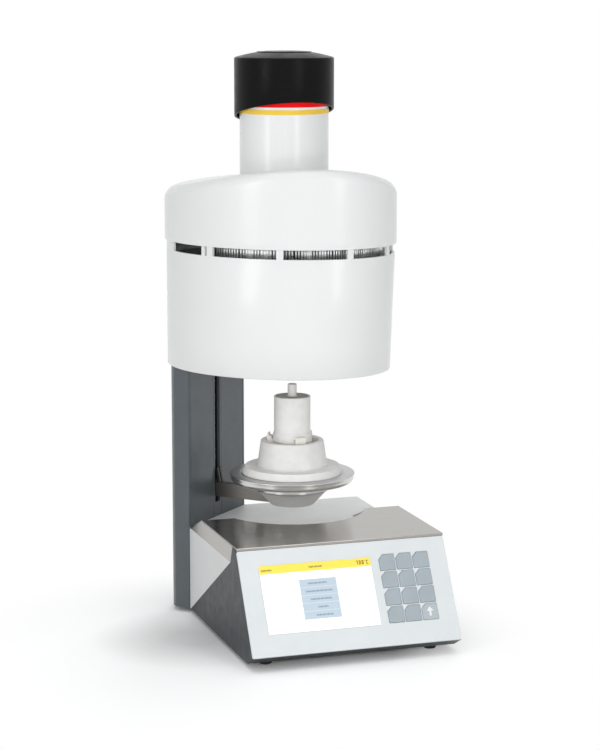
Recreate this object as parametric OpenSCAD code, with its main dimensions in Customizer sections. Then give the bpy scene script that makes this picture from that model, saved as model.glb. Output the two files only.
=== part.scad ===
// Press furnace for dental ceramics, with a lift table, a heated head and a sloped control panel.
// The base stands square to the axes. Column, arm, table and head lie on a line turned 45 degrees,
// so their modules are written about the table's own axis with +X pointing at the column.

/* [Base] */
// Width of the base over its side walls
base_w = 284; // [240:1:340]
// Depth from the top edge of the control panel to the rear wall
base_depth = 340; // [300:1:400]
// Height of the light deck above the bench
deck_z = 121; // [100:1:150]
// Height of the underside of the base above the bench
floor_z = 6; // [4:0.5:12]
// Thickness of the housing walls
wall = 3; // [2:0.5:5]
// Depth at which the dark and light housings meet on the floor
split_y = 226; // [180:1:240]
// Depth at which the dark and light housings meet on the deck
split_top_y = 28; // [20:1:60]

/* [Control panel] */
// Height of the panel's lower edge
panel_foot_z = 20; // [12:1:40]
// Distance the panel's lower edge stands in front of its upper edge
panel_run = 71.3; // [50:0.1:100]
// Height of the panel's upper edge
panel_top_z = 141.5; // [120:0.5:170]
// Thickness of the panel
panel_t = 4; // [3:0.5:6]
// Width of the display's glass
display_w = 152.4; // [100:0.1:160]
// Height of the display's glass
display_h = 91.4; // [60:0.1:96]
// Distance from the panel's centre line to the display's left edge
display_left = 116.3; // [100:0.1:130]
// Distance from the panel's upper edge down to the display
display_drop = 21.2; // [12:0.1:30]
// Side of one key
key_w = 21.3; // [14:0.1:22]
// Distance from one key to the next
key_pitch = 23.5; // [22:0.1:25]
// Distance from the display to the first key column
key_gap = 11.3; // [6:0.1:20]
// Distance from the panel's upper edge down to the first key row
key_drop = 19.2; // [12:0.1:25]
// Height of a key above the panel
key_rise = 0.9; // [0.4:0.1:2]
// Travel of a key
key_travel = 0.8; // [0.4:0.1:1.5]

/* [Steel tray] */
// Height of the tray's top
tray_z = 145.3; // [135:0.1:165]
// Depth of the tray's flat top
tray_depth = 165; // [120:1:190]
// Thickness of the sheet
sheet = 1.5; // [0.8:0.1:3]
// Radius of the round recess under the table
recess_r = 100; // [92:1:110]

/* [Column] */
// Distance from the table's axis to the front of the column
column_x = 118; // [105:0.5:130]
// Half the width of the column's front
column_half = 80.5; // [60:0.5:90]
// Depth of the column's straight sides
column_side = 22.9; // [10:0.1:30]
// Depth of the whole column
column_depth = 42.5; // [38:0.1:50]
// Length of the column's slanted rear corners, measured along the depth
column_chamfer = 9.4; // [5:0.1:15]
// Half width of the column at its back
column_back_half = 51; // [30:0.5:70]
// Depth of the column's straight sides inside the head
column_head_side = 15.3; // [10:0.1:20]
// Thickness of the column's walls
column_wall = 4; // [3:0.5:6]
// Top of the column inside the head
column_top = 440; // [400:1:480]
// Width of the slot in the column
slot_w = 14; // [12:0.5:20]
// Height at which the slot starts
slot_z = 142; // [120:1:150]

/* [Lift] */
// Distance of the table's axis from the panel's upper edge
axis_y = 201; // [180:1:220]
// Sideways offset of the table's axis
axis_x = -2; // [-20:1:20]
// Travel of the lift
lift_travel = 147; // [80:1:150]
// Underside of the arm with the table down
arm_z = 150.5; // [147:0.5:155]
// Height of the arm's section
arm_h = 20; // [12:0.5:24]
// Width of the arm's section
arm_w = 11; // [8:0.5:12]
// Radius of the table's disc
disc_r = 86; // [75:0.5:92]
// Top of the table's disc with the table down
disc_z = 196; // [190:0.5:200]
// Thickness of the table's disc
disc_t = 6; // [4:0.5:8]
// Radius of the press pin
pin_r = 6.2; // [4:0.1:8]
// Travel of the press rod
press_travel = 15; // [5:1:30]

/* [Muffle] */
// Radius of the lower insulating tier
tier_r = 68.5; // [60:0.5:70]
// Height of the lower insulating tier
tier_h = 10; // [6:0.5:14]
// Radius of the muffle stand at its foot
stand_r = 48.7; // [40:0.1:55]
// Height of the muffle stand
stand_h = 36; // [25:0.5:45]
// Radius of the investment cylinder
ring_r = 25; // [20:0.5:30]
// Top of the investment cylinder with the table down
ring_top = 303; // [290:1:310]
// Length of the press pin above the investment cylinder
pin_rise = 16.6; // [10:0.1:18]

/* [Head] */
// Half length of the head's lower rim along the arm
rim_a = 159; // [150:0.5:170]
// Half width of the head's lower rim
rim_b = 126; // [115:0.5:135]
// Offset of the lower rim's centre toward the column
rim_c = 22; // [15:0.5:28]
// Half length of the head at its vents
vent_a = 163; // [155:0.5:172]
// Half width of the head at its vents
vent_b = 123.5; // [115:0.5:135]
// Offset of the head's centre at its vents
vent_c = 19; // [15:0.5:28]
// Height of the head's lower rim
head_z = 345; // [340:0.5:350]
// Height of the vents' lower edge
vent_z = 504.5; // [480:0.5:520]
// Height of the vents
vent_h = 12.5; // [8:0.5:20]
// Overhang of the upper cover
overhang = 2.3; // [1:0.1:4]
// Height of the upper cover's shoulder over the table's axis
shoulder_z = 569.4; // [550:0.1:590]
// Fall of the shoulder toward the column, as a slope
shoulder_fall = 0.0627; // [0:0.001:0.1]
// Radius of the shoulder's rounding
shoulder_r = 28; // [10:1:35]
// Rise of the cover's dome above the rounding
dome_h = 14; // [5:1:25]
// Thickness of the head's shells
shell_t = 4; // [3:0.5:6]

/* [Neck and cap] */
// Radius of the neck
neck_r = 60; // [50:0.5:65]
// Offset of the neck toward the column
neck_c = 12; // [0:0.5:20]
// Top of the neck, hidden in the cap
neck_top = 716; // [705:1:725]
// Height of the yellow ring's lower edge
yellow_z = 689; // [680:0.1:692]
// Height of the yellow ring
yellow_h = 6.2; // [3:0.1:8]
// Height of the red band's lower edge
red_z = 698.6; // [696:0.1:702]
// Radius of the cap
cap_r = 67.2; // [62:0.5:75]
// Height of the cap's edge
cap_edge_z = 763.5; // [750:0.5:780]
// Rise of the cap's domed top
cap_dome = 8.5; // [4:0.5:15]
// Height of the cap's oblique rim on its own axis
cap_rim_z = 689.5; // [675:0.5:695]
// Angle of the cap's oblique rim
cap_rim_angle = 13.6; // [0:0.2:20]

/* [Fits] */
// Gap round pieces that slide or turn
run_gap = 0.05; // [0.02:0.01:0.1]
// Gap round pieces that only pass each other
free_gap = 0.3; // [0.2:0.05:0.6]

/* [Hidden] */
$fn = 96;
half_w = base_w / 2;
panel_len = norm([panel_run, panel_top_z - panel_foot_z]);
panel_angle = atan2(panel_top_z - panel_foot_z, panel_run);
display_y = panel_len - display_drop - display_h;
key_rows = 4;
key_cols = 3;
key_left = -display_left + display_w + key_gap;
key_right = key_left + (key_cols - 1) * key_pitch + key_w;
key_high = panel_len - key_drop;
key_low = key_high - (key_rows - 1) * key_pitch - key_w;
key_flange = 0.85;
key_flange_t = 1.2;
stem_r = 3;
board_t = 1.6;
board_gap = key_flange_t + 4;
column_back = column_x + column_depth;
column_in = column_x + column_wall;
column_far = column_back - column_wall;
column_bend_z = head_z - 1;
foot_section = [column_side, column_chamfer, column_back_half];
head_chamfer = column_back - column_x - column_head_side - 0.3;
head_section = [column_head_side, head_chamfer, column_half - head_chamfer - 6];
rail_d = 9;
rail_w = 12;
rail_x = column_far - rail_d;
carriage_x = rail_x - 14;
carriage_h = 60;
screw_y = -28;
screw_x = column_in + 16;
screw_r = 5;
motor_w = 32;
motor_z = floor_z + 6;
motor_h = 60;
motor_top = motor_z + motor_h;
bearing_t = 8;
lift_screw_top = column_top - 12;
bowl_ledge_r = 50.6;
bowl_foot_r = 31;
bowl_z = 152;
bowl_in_r = 44;
bowl_in_z = arm_z + arm_h + 4;
arm_end = 24;
tier_z = disc_z + tier_h;
stand_z = tier_z + stand_h;
stand_in_r = 36;
stand_floor = stand_z - 7;
carrier_z = 5;
carrier_t = 3;
flare_r = ring_r + 1.8;
lug_r = stand_in_r - 1.5;
lug_w = 12;
lug_h = 10;
lug_angle = 17;
pin_top = ring_top + pin_rise;
pin_len = 44;
rod_r = 6;
rod_z = pin_top + lift_travel + 0.4;
plate_t = 4;
plate_z = head_z + 1;
mouth_r = 72;
seal_r = 84;
brick_r = 104;
can_t = 2;
muffle_in = 60;
chamber_z = plate_z + plate_t;
chamber_top = rod_z + 5;
muffle_z = head_z + tier_h + 4;
deck_top = vent_z - 10;
lid_h = deck_top - 3 - chamber_top;
bridge_z = shoulder_z - 8;
bridge_t = 4;
bridge_r = neck_r + 14;
vent_top = vent_z + vent_h;
oval_n = 72;
// Vent openings as pairs of angles on one side of the head, counted from the column
vents = [[43, 69.5], [76.5, 109.8], [113.2, 146.5], [150, 178.2]];
head_left = axis_x - vent_c / sqrt(2) - norm([vent_a + overhang, vent_b + overhang]) / sqrt(2);
head_rear = axis_y + vent_c / sqrt(2) + norm([vent_a + overhang, vent_b + overhang]) / sqrt(2);
mid_x = (head_left + half_w) / 2;
mid_y = (head_rear - panel_run) / 2;
bolt_r = 3;
switch_x = 40;
socket_x = 78;
socket_z = 40;
socket_w = 27.4;
socket_h = 20;
switch_w = 13;
switch_h = 19;
rocker_z = 3;
rocker_pin = 1.4;
rocker_tilt = 6;
inlet_cuts = [[socket_x, socket_z, socket_w, socket_h], [switch_x, socket_z, switch_w, switch_h]];
corner_x = base_depth - column_x * sqrt(2) - axis_y + axis_x;
port_x = [corner_x + 20, corner_x + 40];
port_z = 80;
port_r = 5;
board_posts = [for (x = [key_left + 5, key_right - 5]) for (y = [key_low - 4.6, key_high + 4.6]) [x, y]];
foot_x = half_w - 29;
foot_xy = [[-foot_x, -30], [foot_x, -30], [foot_x, base_depth - 35]];
bolt_yz = [for (y = [-58, 58]) for (z = [35, 95]) [y, z]];
post_xy = [for (x = [-45, 45]) for (y = [-45, 45]) [neck_c + x, y]];

// Puts the middle of the furnace's outline over the origin
module placed() {
    translate([-mid_x, -mid_y, 0]) children();
}

// Frame of the table's axis, +X toward the column
module on_axis() {
    placed() translate([axis_x, axis_y, 0]) rotate(135) children();
}

// Frame of the control panel, origin at the middle of its lower edge, +Z outward
module on_panel() {
    placed() translate([0, -panel_run, panel_foot_z]) rotate([panel_angle, 0, 0]) children();
}

module box(from, to) {
    translate(from) cube(to - from);
}

// Extrusion of a side view drawn as [depth, height], over a range of widths
module side_profile(points, x0, x1) {
    translate([x0, 0, 0]) rotate([90, 0, 90]) linear_extrude(x1 - x0) polygon(points);
}

function oval(c, a, b) = [for (i = [0:oval_n - 1]) let (t = 360 * i / oval_n) [c + a * cos(t), b * sin(t)]];

// Solid through ovals given as [height, centre, half length, half width, fall]
module loft(rings) {
    m = len(rings);
    pts = [for (r = rings) for (p = oval(r[1], r[2], r[3])) [p.x, p.y, r[0] - r[4] * p.x]];
    sides = [for (k = [0:m - 2]) for (i = [0:oval_n - 1])
        let (j = (i + 1) % oval_n, p = k * oval_n, q = p + oval_n) [p + i, q + i, q + j, p + j]];
    polyhedron(pts, concat([[for (i = [0:oval_n - 1]) i]], sides,
        [[for (i = [oval_n - 1:-1:0]) (m - 1) * oval_n + i]]), convexity = 6);
}

// Values of the head's wall at a height, pulled inward by d
function head_at(z, d) = let (k = (z - head_z) / (vent_z - head_z))
    [z, rim_c + (vent_c - rim_c) * k, rim_a + (vent_a - rim_a) * k - d, rim_b + (vent_b - rim_b) * k - d, 0];

// Rings of the upper cover, pulled inward by d
function cover_rings(d) = let (a = vent_a + overhang - d, b = vent_b + overhang - d, r = shoulder_r - d / 2)
    concat([[vent_top, vent_c, a, b, 0]],
        [for (i = [0:8]) let (t = 10.4 * i) [shoulder_z - d / 2 + r * sin(t), vent_c, a - r * (1 - cos(t)),
            b - r * (1 - cos(t)), shoulder_fall]],
        [for (i = [1:5]) let (k = i / 5, e = (b - r - 30) * k, rise = dome_h * (1 - (1 - k) * (1 - k)))
            [shoulder_z - d / 2 + r + rise, vent_c, a - r - e, b - r - e, shoulder_fall]]);

// Plan of the column, pulled inward by d
module column_plan(section, d = 0) {
    bend = column_x + section[0];
    half = [[column_x, column_half], [bend, column_half],
        [bend + section[1], column_half - section[1]], [column_back, section[2]]];
    polygon(inset(concat([for (p = half) [p.x, -p.y]], [for (i = [3:-1:0]) half[i]]), d));
}

// Corners of an anticlockwise convex outline, moved inward by d
function inset(points, d) = let (n = len(points)) [for (i = [0:n - 1])
    let (a = inward(points[i] - points[(i + n - 1) % n]), b = inward(points[(i + 1) % n] - points[i]))
    points[i] + d * (a + b) / (1 + a * b)];

function inward(side) = [-side.y, side.x] / norm(side);

// Plan of the base: a rectangle with the column's corner cut off
module base_plan(y0, d = 0) {
    k = column_x * sqrt(2) + axis_y - axis_x - d * (sqrt(2) - 1) - d;
    polygon([[-half_w + d, y0], [half_w - d, y0], [half_w - d, base_depth - d],
        [base_depth - d - k, base_depth - d], [-half_w + d, k - half_w + d]]);
}

module base_tub() color("#3c4146") placed() {
    slope = [[-panel_run, panel_foot_z], [0, panel_top_z], [1, tray_z - sheet],
        [split_top_y - 9, tray_z - sheet], [split_top_y, deck_z], [split_y, floor_z], [-45, floor_z]];
    inner = [[-panel_run, panel_foot_z + 2], [0, panel_top_z - 1], [2.5, panel_top_z - 2],
        [split_top_y + 40, deck_z + 30], [split_y + 40, floor_z + wall], [-45 + wall, floor_z + wall],
        [-panel_run + wall, panel_foot_z + 1]];
    difference() {
        side_profile(slope, -half_w, half_w);
        side_profile(inner, -half_w + wall, half_w - wall);
        translate([0, -panel_run, panel_foot_z]) rotate([panel_angle, 0, 0])
            box([-half_w - 1, -20, -panel_t], [half_w + 1, panel_len + 20, 20]);
    }
}

module deck_body() color("#c4c8ca") placed() {
    difference() {
        intersection() {
            side_profile([[split_top_y, deck_z], [base_depth, deck_z], [base_depth, floor_z],
                [split_y, floor_z]], -half_w, half_w);
            linear_extrude(deck_z) base_plan(0);
        }
        translate([0, 0, floor_z + wall]) linear_extrude(deck_z - floor_z - 2 * wall) base_plan(-50, wall);
        for (p = inlet_cuts) translate([p[0], base_depth, p[1]]) rotate([90, 0, 0])
            box([-p[2] / 2, -p[3] / 2, -1], [p[2] / 2, p[3] / 2, wall + 1]);
        for (x = port_x) translate([x, base_depth + 1, port_z]) rotate([90, 0, 0])
            cylinder(h = wall + 2, r = port_r);
        translate([axis_x, axis_y, 0]) rotate(135) at_bolts(column_x - wall - 1)
            cylinder(h = wall + 2, r = bolt_r + run_gap);
    }
}

module steel_tray() color("#9b9894") placed() {
    skirt_front = split_top_y;
    top_back = tray_depth;
    outline = [[0, panel_top_z], [0, tray_z], [top_back, tray_z], [split_y, deck_z], [skirt_front, deck_z],
        [skirt_front - 9, tray_z - sheet], [1, tray_z - sheet], [1, panel_top_z]];
    inside = [[1, panel_top_z - 1], [1, tray_z - sheet], [top_back - 0.3, tray_z - sheet],
        [split_y - sheet * 2.6, deck_z], [split_y - sheet * 2.6, deck_z - 1]];
    difference() {
        side_profile(outline, -half_w, half_w);
        side_profile(inside, -half_w + sheet, half_w - sheet);
        translate([axis_x, axis_y, deck_z - 1]) cylinder(h = tray_z, r = recess_r);
    }
    intersection() {
        translate([axis_x, axis_y, deck_z]) difference() {
            cylinder(h = tray_z - deck_z, r = recess_r + sheet);
            translate([0, 0, -1]) cylinder(h = tray_z, r = recess_r);
        }
        side_profile(outline, -half_w + sheet, half_w - sheet);
    }
}

module front_panel() color("#e2e6e8") on_panel() {
    difference() {
        box([-half_w + 0.2, 0, -panel_t], [half_w - 0.2, panel_len, 0]);
        box([-display_left - free_gap, display_y - free_gap, -panel_t - 1],
            [-display_left + display_w + free_gap, display_y + display_h + free_gap, 1]);
        for (i = [1:key_rows * key_cols]) at_key(i) key_shape(free_gap, -panel_t - 1, 1);
    }
    for (p = board_posts) translate([p.x, p.y, -panel_t - board_gap]) cylinder(h = board_gap, r = 2);
}

// Middle of key i, counted from the upper left
module at_key(i) {
    c = (i - 1) % key_cols;
    r = floor((i - 1) / key_cols);
    translate([key_left + key_w / 2 + c * key_pitch, key_high - key_w / 2 - r * key_pitch, 0]) children();
}

// Square key with its upper left corner cut
module key_shape(g, z0, z1) {
    h = key_w / 2 + g;
    k = 5 - g * 0.4;
    translate([0, 0, z0]) linear_extrude(z1 - z0)
        polygon([[-h, -h], [h, -h], [h, h], [-h + k, h], [-h, h - k]]);
}

module key_body(i) on_panel() at_key(i) {
    key_shape(0, -panel_t, key_rise);
    key_shape(key_flange, -panel_t - key_flange_t, -panel_t);
    stem_gap = key_travel + 0.2;
    translate([0, 0, -panel_t - board_gap + stem_gap])
        cylinder(h = board_gap - stem_gap - key_flange_t, r = stem_r);
}

module key_1() color("#a8b8c0") key_body(1);
module key_2() color("#a8b8c0") key_body(2);
module key_3() color("#a8b8c0") key_body(3);
module key_4() color("#a8b8c0") key_body(4);
module key_5() color("#a8b8c0") key_body(5);
module key_6() color("#a8b8c0") key_body(6);
module key_7() color("#a8b8c0") key_body(7);
module key_8() color("#a8b8c0") key_body(8);
module key_9() color("#a8b8c0") key_body(9);
module key_10() color("#a8b8c0") key_body(10);
module key_11() color("#a8b8c0") key_body(11);
module key_12() color("#b4b8ba") key_body(12);

module touch_display() color("#f2f4f6") on_panel() {
    box([-display_left, display_y, -panel_t], [-display_left + display_w, display_y + display_h, -0.3]);
    box([-display_left - 3, display_y - 3, -panel_t - 6],
        [-display_left + display_w + 3, display_y + display_h + 3, -panel_t]);
}

module keypad_board() color("#1f5a3a") on_panel() {
    box([key_left - 1, key_low - 8, -panel_t - board_gap - board_t],
        [key_right + 1, key_high + 8, -panel_t - board_gap]);
}

module foot_pads() color("#151515") {
    placed() for (p = foot_xy) translate([p.x, p.y, 0]) foot();
    on_axis() translate([column_x + 22, 0, 0]) foot();
}

module foot() {
    rotate_extrude() polygon([[0, 0], [7.5, 0], [8.5, 1], [8.5, floor_z], [0, floor_z]]);
}

module main_board() color("#1f5a3a") placed() {
    z = floor_z + wall;
    y = base_depth - 280;
    box([-20, y, z + 8], [110, y + 140, z + 8 + board_t]);
    for (x = [-12, 102]) for (d = [8, 132]) translate([x, y + d, z]) cylinder(h = 8, r = 3);
    box([0, y + 30, z + 8 + board_t], [40, y + 70, z + 20]);
    box([60, y + 90, z + 8 + board_t], [100, y + 125, z + 26]);
}

module power_supply() color("#b8b8b4") placed() {
    z = floor_z + wall;
    y = base_depth - 115;
    box([20, y, z], [115, y + 75, z + 14]);
    box([20, y, z + 14], [24, y + 75, z + 40]);
    box([24, y, z + 38], [115, y + 75, z + 40]);
    box([60, y + 15, z + 14], [90, y + 45, z + 38]);
}

// Frame on the rear wall, origin on its outer face, +Z into the housing
module on_rear(x, z) {
    placed() translate([x, base_depth, z]) rotate([90, 0, 0]) children();
}

module mains_inlet() color("#202020") on_rear(socket_x, socket_z) {
    difference() {
        union() {
            box([-socket_w / 2 - 4, -socket_h / 2 - 4, -2.5], [socket_w / 2 + 4, socket_h / 2 + 4, 0]);
            box([-socket_w / 2 + 0.2, -socket_h / 2 + 0.2, 0], [socket_w / 2 - 0.2, socket_h / 2 - 0.2, 22]);
        }
        box([-11, -7.5, -3], [11, 7.5, 16]);
    }
    for (x = [-7, 0, 7]) box([x - 1, -4 + abs(x) / 4, 2], [x + 1, abs(x) / 4, 16]);
}

module power_switch() color("#181818") on_rear(switch_x, socket_z) {
    difference() {
        union() {
            box([-switch_w / 2 - 2, -switch_h / 2 - 2, -2], [switch_w / 2 + 2, switch_h / 2 + 2, 0]);
            box([-switch_w / 2 + 0.2, -switch_h / 2 + 0.2, 0], [switch_w / 2 - 0.2, switch_h / 2 - 0.2, 16]);
        }
        box([-5, -8, -3], [5, 8, 14]);
        translate([-6.4, 0, rocker_z]) rotate([0, 90, 0]) cylinder(h = 12.8, r = rocker_pin + run_gap);
    }
}

module switch_rocker() color("#b02a24") on_rear(switch_x, socket_z)
    translate([0, 0, rocker_z]) rotate([rocker_tilt, 0, 0]) {
        rotate([90, 0, 90]) translate([0, 0, -4.9]) linear_extrude(9.8) polygon([[-7.2, -rocker_z - 2.2],
            [0, -rocker_z - 0.8], [7.2, -rocker_z - 2.2], [6.8, 2], [0, 5], [-6.8, 2]]);
        translate([-6.2, 0, 0]) rotate([0, 90, 0]) cylinder(h = 12.4, r = rocker_pin);
    }

module air_port() color("#8c8f92") for (x = port_x) on_rear(x, port_z) mirror([0, 0, 1]) difference() {
    union() {
        translate([0, 0, -wall - 4]) cylinder(h = 4, r = 8);
        translate([0, 0, -wall]) cylinder(h = wall, r = port_r - 0.1);
        cylinder(h = 3, r = 7);
        cylinder(h = 15, r = 4);
    }
    translate([0, 0, -wall - 5]) cylinder(h = 30, r = 2.5);
}

module column_profile() color("#50585c") on_axis() {
    difference() {
        union() {
            translate([0, 0, floor_z]) linear_extrude(column_bend_z - floor_z) column_plan(foot_section);
            translate([0, 0, column_bend_z]) linear_extrude(column_top - column_bend_z)
                column_plan(head_section);
        }
        translate([0, 0, floor_z + 6]) linear_extrude(column_bend_z - column_wall - floor_z - 6)
            column_plan(foot_section, column_wall);
        translate([0, 0, floor_z + 6]) linear_extrude(column_top) column_plan(head_section, column_wall);
        box([column_x - 1, -slot_w / 2, slot_z], [column_in + 1, slot_w / 2, column_top + 1]);
        at_bolts(column_x - 1) cylinder(h = column_wall + 2, r = bolt_r + run_gap);
    }
}

// Places where the column is bolted to the base, as [across, height]

module at_bolts(x) {
    for (p = bolt_yz) translate([x, p.x, p.y]) rotate([0, 90, 0]) children();
}

module column_bolts() color("#8d9092") on_axis() at_bolts(column_x - wall) {
    cylinder(h = wall + column_wall + 3, r = bolt_r);
    translate([0, 0, -5]) cylinder(h = 5, r = 6);
}

module guide_rail() color("#a7abad") on_axis() {
    box([rail_x, -rail_w / 2, 110], [rail_x + rail_d, rail_w / 2, column_top - 6]);
}

module guide_carriage() color("#8e9295") on_axis() {
    z = arm_z + arm_h / 2 - carriage_h / 2;
    difference() {
        union() {
            box([carriage_x, -18, z], [rail_x + 6, 18, z + carriage_h]);
            box([screw_x - 11, screw_y - 11, arm_z - 6], [screw_x + 11, -18, arm_z + 14]);
        }
        box([rail_x - run_gap, -rail_w / 2 - run_gap, z - 1],
            [rail_x + 7, rail_w / 2 + run_gap, z + carriage_h + 1]);
        translate([screw_x, screw_y, z - 1]) cylinder(h = carriage_h + 2, r = screw_r + run_gap);
    }
}

module lead_screw() color("#b4b7b9") on_axis() translate([screw_x, screw_y, motor_top - 20])
    cylinder(h = lift_screw_top - motor_top + 20, r = screw_r);

module screw_bearings() color("#6f7476") on_axis() {
    difference() {
        union() {
            box([column_in, screw_y - 12, lift_screw_top - bearing_t],
                [column_far, screw_y + 12, lift_screw_top]);
            box([column_in, screw_y - 16, motor_top], [column_far, screw_y + 16, motor_top + bearing_t]);
        }
        translate([screw_x, screw_y, 0]) cylinder(h = column_top, r = screw_r + run_gap);
    }
}

module lift_motor() color("#26282a") on_axis() {
    difference() {
        translate([screw_x - motor_w / 2, screw_y - motor_w / 2, motor_z]) cube([motor_w, motor_w, motor_h]);
        translate([screw_x, screw_y, motor_top - 20 - 0.1]) cylinder(h = 30, r = screw_r + run_gap);
    }
}

module slot_seal() color("#0c0c0d") on_axis() for (s = [-1, 1]) {
    near = arm_w / 2 + 0.4;
    far = slot_w / 2 + 4;
    box([column_in, s > 0 ? near : -far, slot_z - 4],
        [column_in + 1.5, s > 0 ? far : -near, column_top - 4]);
}

module lift_arm() color("#a9aaa8") on_axis() {
    box([arm_end, -arm_w / 2, arm_z], [carriage_x, arm_w / 2, arm_z + arm_h]);
}

module arm_gusset() color("#1a1b1c") on_axis() translate([0, arm_w / 2, 0]) rotate([90, 0, 0])
    linear_extrude(arm_w) polygon([[column_x - 7, arm_z + arm_h], [column_x - 1, arm_z + arm_h],
        [column_x - 1, arm_z + arm_h + 21], [column_x - 2.5, arm_z + arm_h + 21]]);

module table_bowl() color("#a3a5a3") on_axis() {
    difference() {
        rotate_extrude() polygon(concat([[0, bowl_z], [bowl_foot_r - 2, bowl_z], [bowl_foot_r, bowl_z + 1.5],
            [bowl_ledge_r - 3, disc_z - 25], [bowl_ledge_r, disc_z - 21.5], [bowl_ledge_r, disc_z - 16.5],
            [bowl_ledge_r + 2, disc_z - 14], [disc_r - 16, disc_z - 9]],
            [for (t = [10:10:90]) [disc_r - 10 + 10 * sin(t), disc_z - disc_t + 3.5 - 6.5 * cos(t)]],
            [[disc_r, disc_z - 0.8], [disc_r - 0.8, disc_z], [bowl_in_r, disc_z], [bowl_in_r, bowl_in_z],
            [0, bowl_in_z]]));
        box([arm_end, -arm_w / 2, bowl_z - 1], [disc_r, arm_w / 2, arm_z + arm_h]);
    }
}

module insulating_base() color("#f1efea") on_axis() rotate_extrude()
    polygon([[0, disc_z - 4], [bowl_in_r - 1, disc_z - 4], [bowl_in_r - 1, disc_z], [tier_r, disc_z],
        [tier_r - 0.4, disc_z + 3], [tier_r - 3.5, tier_z], [0, tier_z]]);

module muffle_stand() color("#efece4") on_axis() rotate_extrude()
    polygon(concat([[0, tier_z], [stand_r + 1, tier_z], [stand_r - 0.6, tier_z + 1.6],
        [stand_r - 5.3, stand_z - 2.5]],
        [for (t = [20:35:90]) [stand_r - 7.8 + 2.5 * cos(t), stand_z - 2.5 + 2.5 * sin(t)]],
        [[stand_in_r, stand_z], [stand_in_r, stand_floor], [0, stand_floor]]));

// Carrier that holds the investment cylinder off the stand on three hooked lugs
module stand_ring() color("#e6dcc6") on_axis() translate([0, 0, stand_floor]) {
    translate([0, 0, carrier_z]) cylinder(h = carrier_t, r = flare_r + 0.5);
    for (i = [0:2]) rotate(lug_angle + i * 120) {
        box([ring_r - 4, -lug_w / 2, 0], [lug_r, lug_w / 2, carrier_z + carrier_t]);
        box([flare_r + 1, -lug_w / 2, carrier_z], [lug_r, lug_w / 2, lug_h]);
        box([lug_r - 3, -lug_w / 4, lug_h - 1], [lug_r - 0.5, lug_w / 4, lug_h + 2.5]);
    }
}

module investment_cylinder() color("#ecebe7") on_axis() difference() {
    foot_z = stand_floor + carrier_z + carrier_t;
    rotate_extrude() polygon([[0, foot_z], [flare_r, foot_z], [flare_r - 0.4, foot_z + 8],
        [ring_r, foot_z + 10], [ring_r, ring_top - 1], [ring_r - 1, ring_top], [0, ring_top]]);
    translate([0, 0, pin_top - pin_len - press_travel]) cylinder(h = ring_top, r = pin_r + run_gap);
}

module press_pin() color("#f4f3ef") on_axis() translate([0, 0, pin_top - pin_len])
    cylinder(h = pin_len, r = pin_r);

module head_base_plate() color("#b9bcbe") on_axis() difference() {
    loft([head_at(plate_z, shell_t + 0.2), head_at(plate_z + plate_t, shell_t + 0.2)]);
    translate([0, 0, plate_z - 1]) cylinder(h = plate_t + 2, r = mouth_r);
    translate([0, 0, plate_z - 1]) linear_extrude(plate_t + 2) column_plan(head_section, -0.3);
}

module head_bracket() color("#8d9092") on_axis() for (s = [-1, 1]) difference() {
    union() {
        box([column_x - 4, min(s * 14, s * 62), chamber_z], [column_x, max(s * 14, s * 62), chamber_z + 55]);
        box([column_x - 10, min(s * 26, s * 62), chamber_z],
            [column_x - 4, max(s * 26, s * 62), chamber_z + 5]);
    }
    for (z = [20, 42]) translate([column_x - 5, s * 44, chamber_z + z]) rotate([0, 90, 0])
        cylinder(h = 6, r = bolt_r);
}

module chamber_seal() color("#d8d2c4") on_axis() translate([0, 0, head_z - 1.8]) difference() {
    cylinder(h = plate_z - head_z + 1.8, r = seal_r);
    translate([0, 0, -1]) cylinder(h = 6, r = mouth_r + 1);
}

module head_shell() color("#eef0f0") on_axis() difference() {
    union() {
        difference() {
            loft([head_at(head_z, 0), head_at(vent_z, 0), [vent_top, vent_c, vent_a, vent_b, 0]]);
            loft([head_at(head_z - 5, shell_t), head_at(vent_z, shell_t),
                [vent_top + 1, vent_c, vent_a - shell_t, vent_b - shell_t, 0]]);
        }
        difference() {
            loft([head_at(plate_z + plate_t, 1), head_at(plate_z + plate_t + 3, 1)]);
            loft([head_at(plate_z, shell_t + 4), head_at(plate_z + plate_t + 4, shell_t + 4)]);
        }
        difference() {
            loft([head_at(deck_top - 8, 1), head_at(deck_top - 3, 1)]);
            loft([head_at(deck_top - 9, shell_t + 4), head_at(deck_top, shell_t + 4)]);
        }
    }
    translate([0, 0, plate_z]) linear_extrude(12) column_plan(head_section, -0.3);
    for (s = [-1, 1]) for (v = vents) translate([vent_c, 0, vent_z])
        linear_extrude(vent_h + 1) vent_wedge(v, s);
}

// Sector of the plan between two of the oval's angles
module vent_wedge(v, s) {
    n = 8;
    span = [for (i = [0:n]) v[0] + (v[1] - v[0]) * i / n];
    far = [for (t = span) [1.1 * vent_a * cos(t), s * 1.1 * vent_b * sin(t)]];
    near = [for (i = [n:-1:0]) [0.85 * vent_a * cos(span[i]), s * 0.85 * vent_b * sin(span[i])]];
    polygon(concat(far, near));
}

module chamber_can() color("#9fa2a4") on_axis() translate([0, 0, chamber_z]) difference() {
    cylinder(h = deck_top - 3 - chamber_z, r = brick_r + can_t);
    translate([0, 0, -1]) cylinder(h = deck_top, r = brick_r);
}

module chamber_insulation() color("#f0ede4") on_axis() translate([0, 0, chamber_z]) difference() {
    cylinder(h = chamber_top - chamber_z, r = brick_r);
    translate([0, 0, -1]) cylinder(h = chamber_top, r = mouth_r);
}

module heating_muffle() color("#e4dccb") on_axis() translate([0, 0, muffle_z]) difference() {
    cylinder(h = chamber_top - muffle_z, r = mouth_r);
    translate([0, 0, -1]) cylinder(h = chamber_top, r = muffle_in);
}

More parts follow.
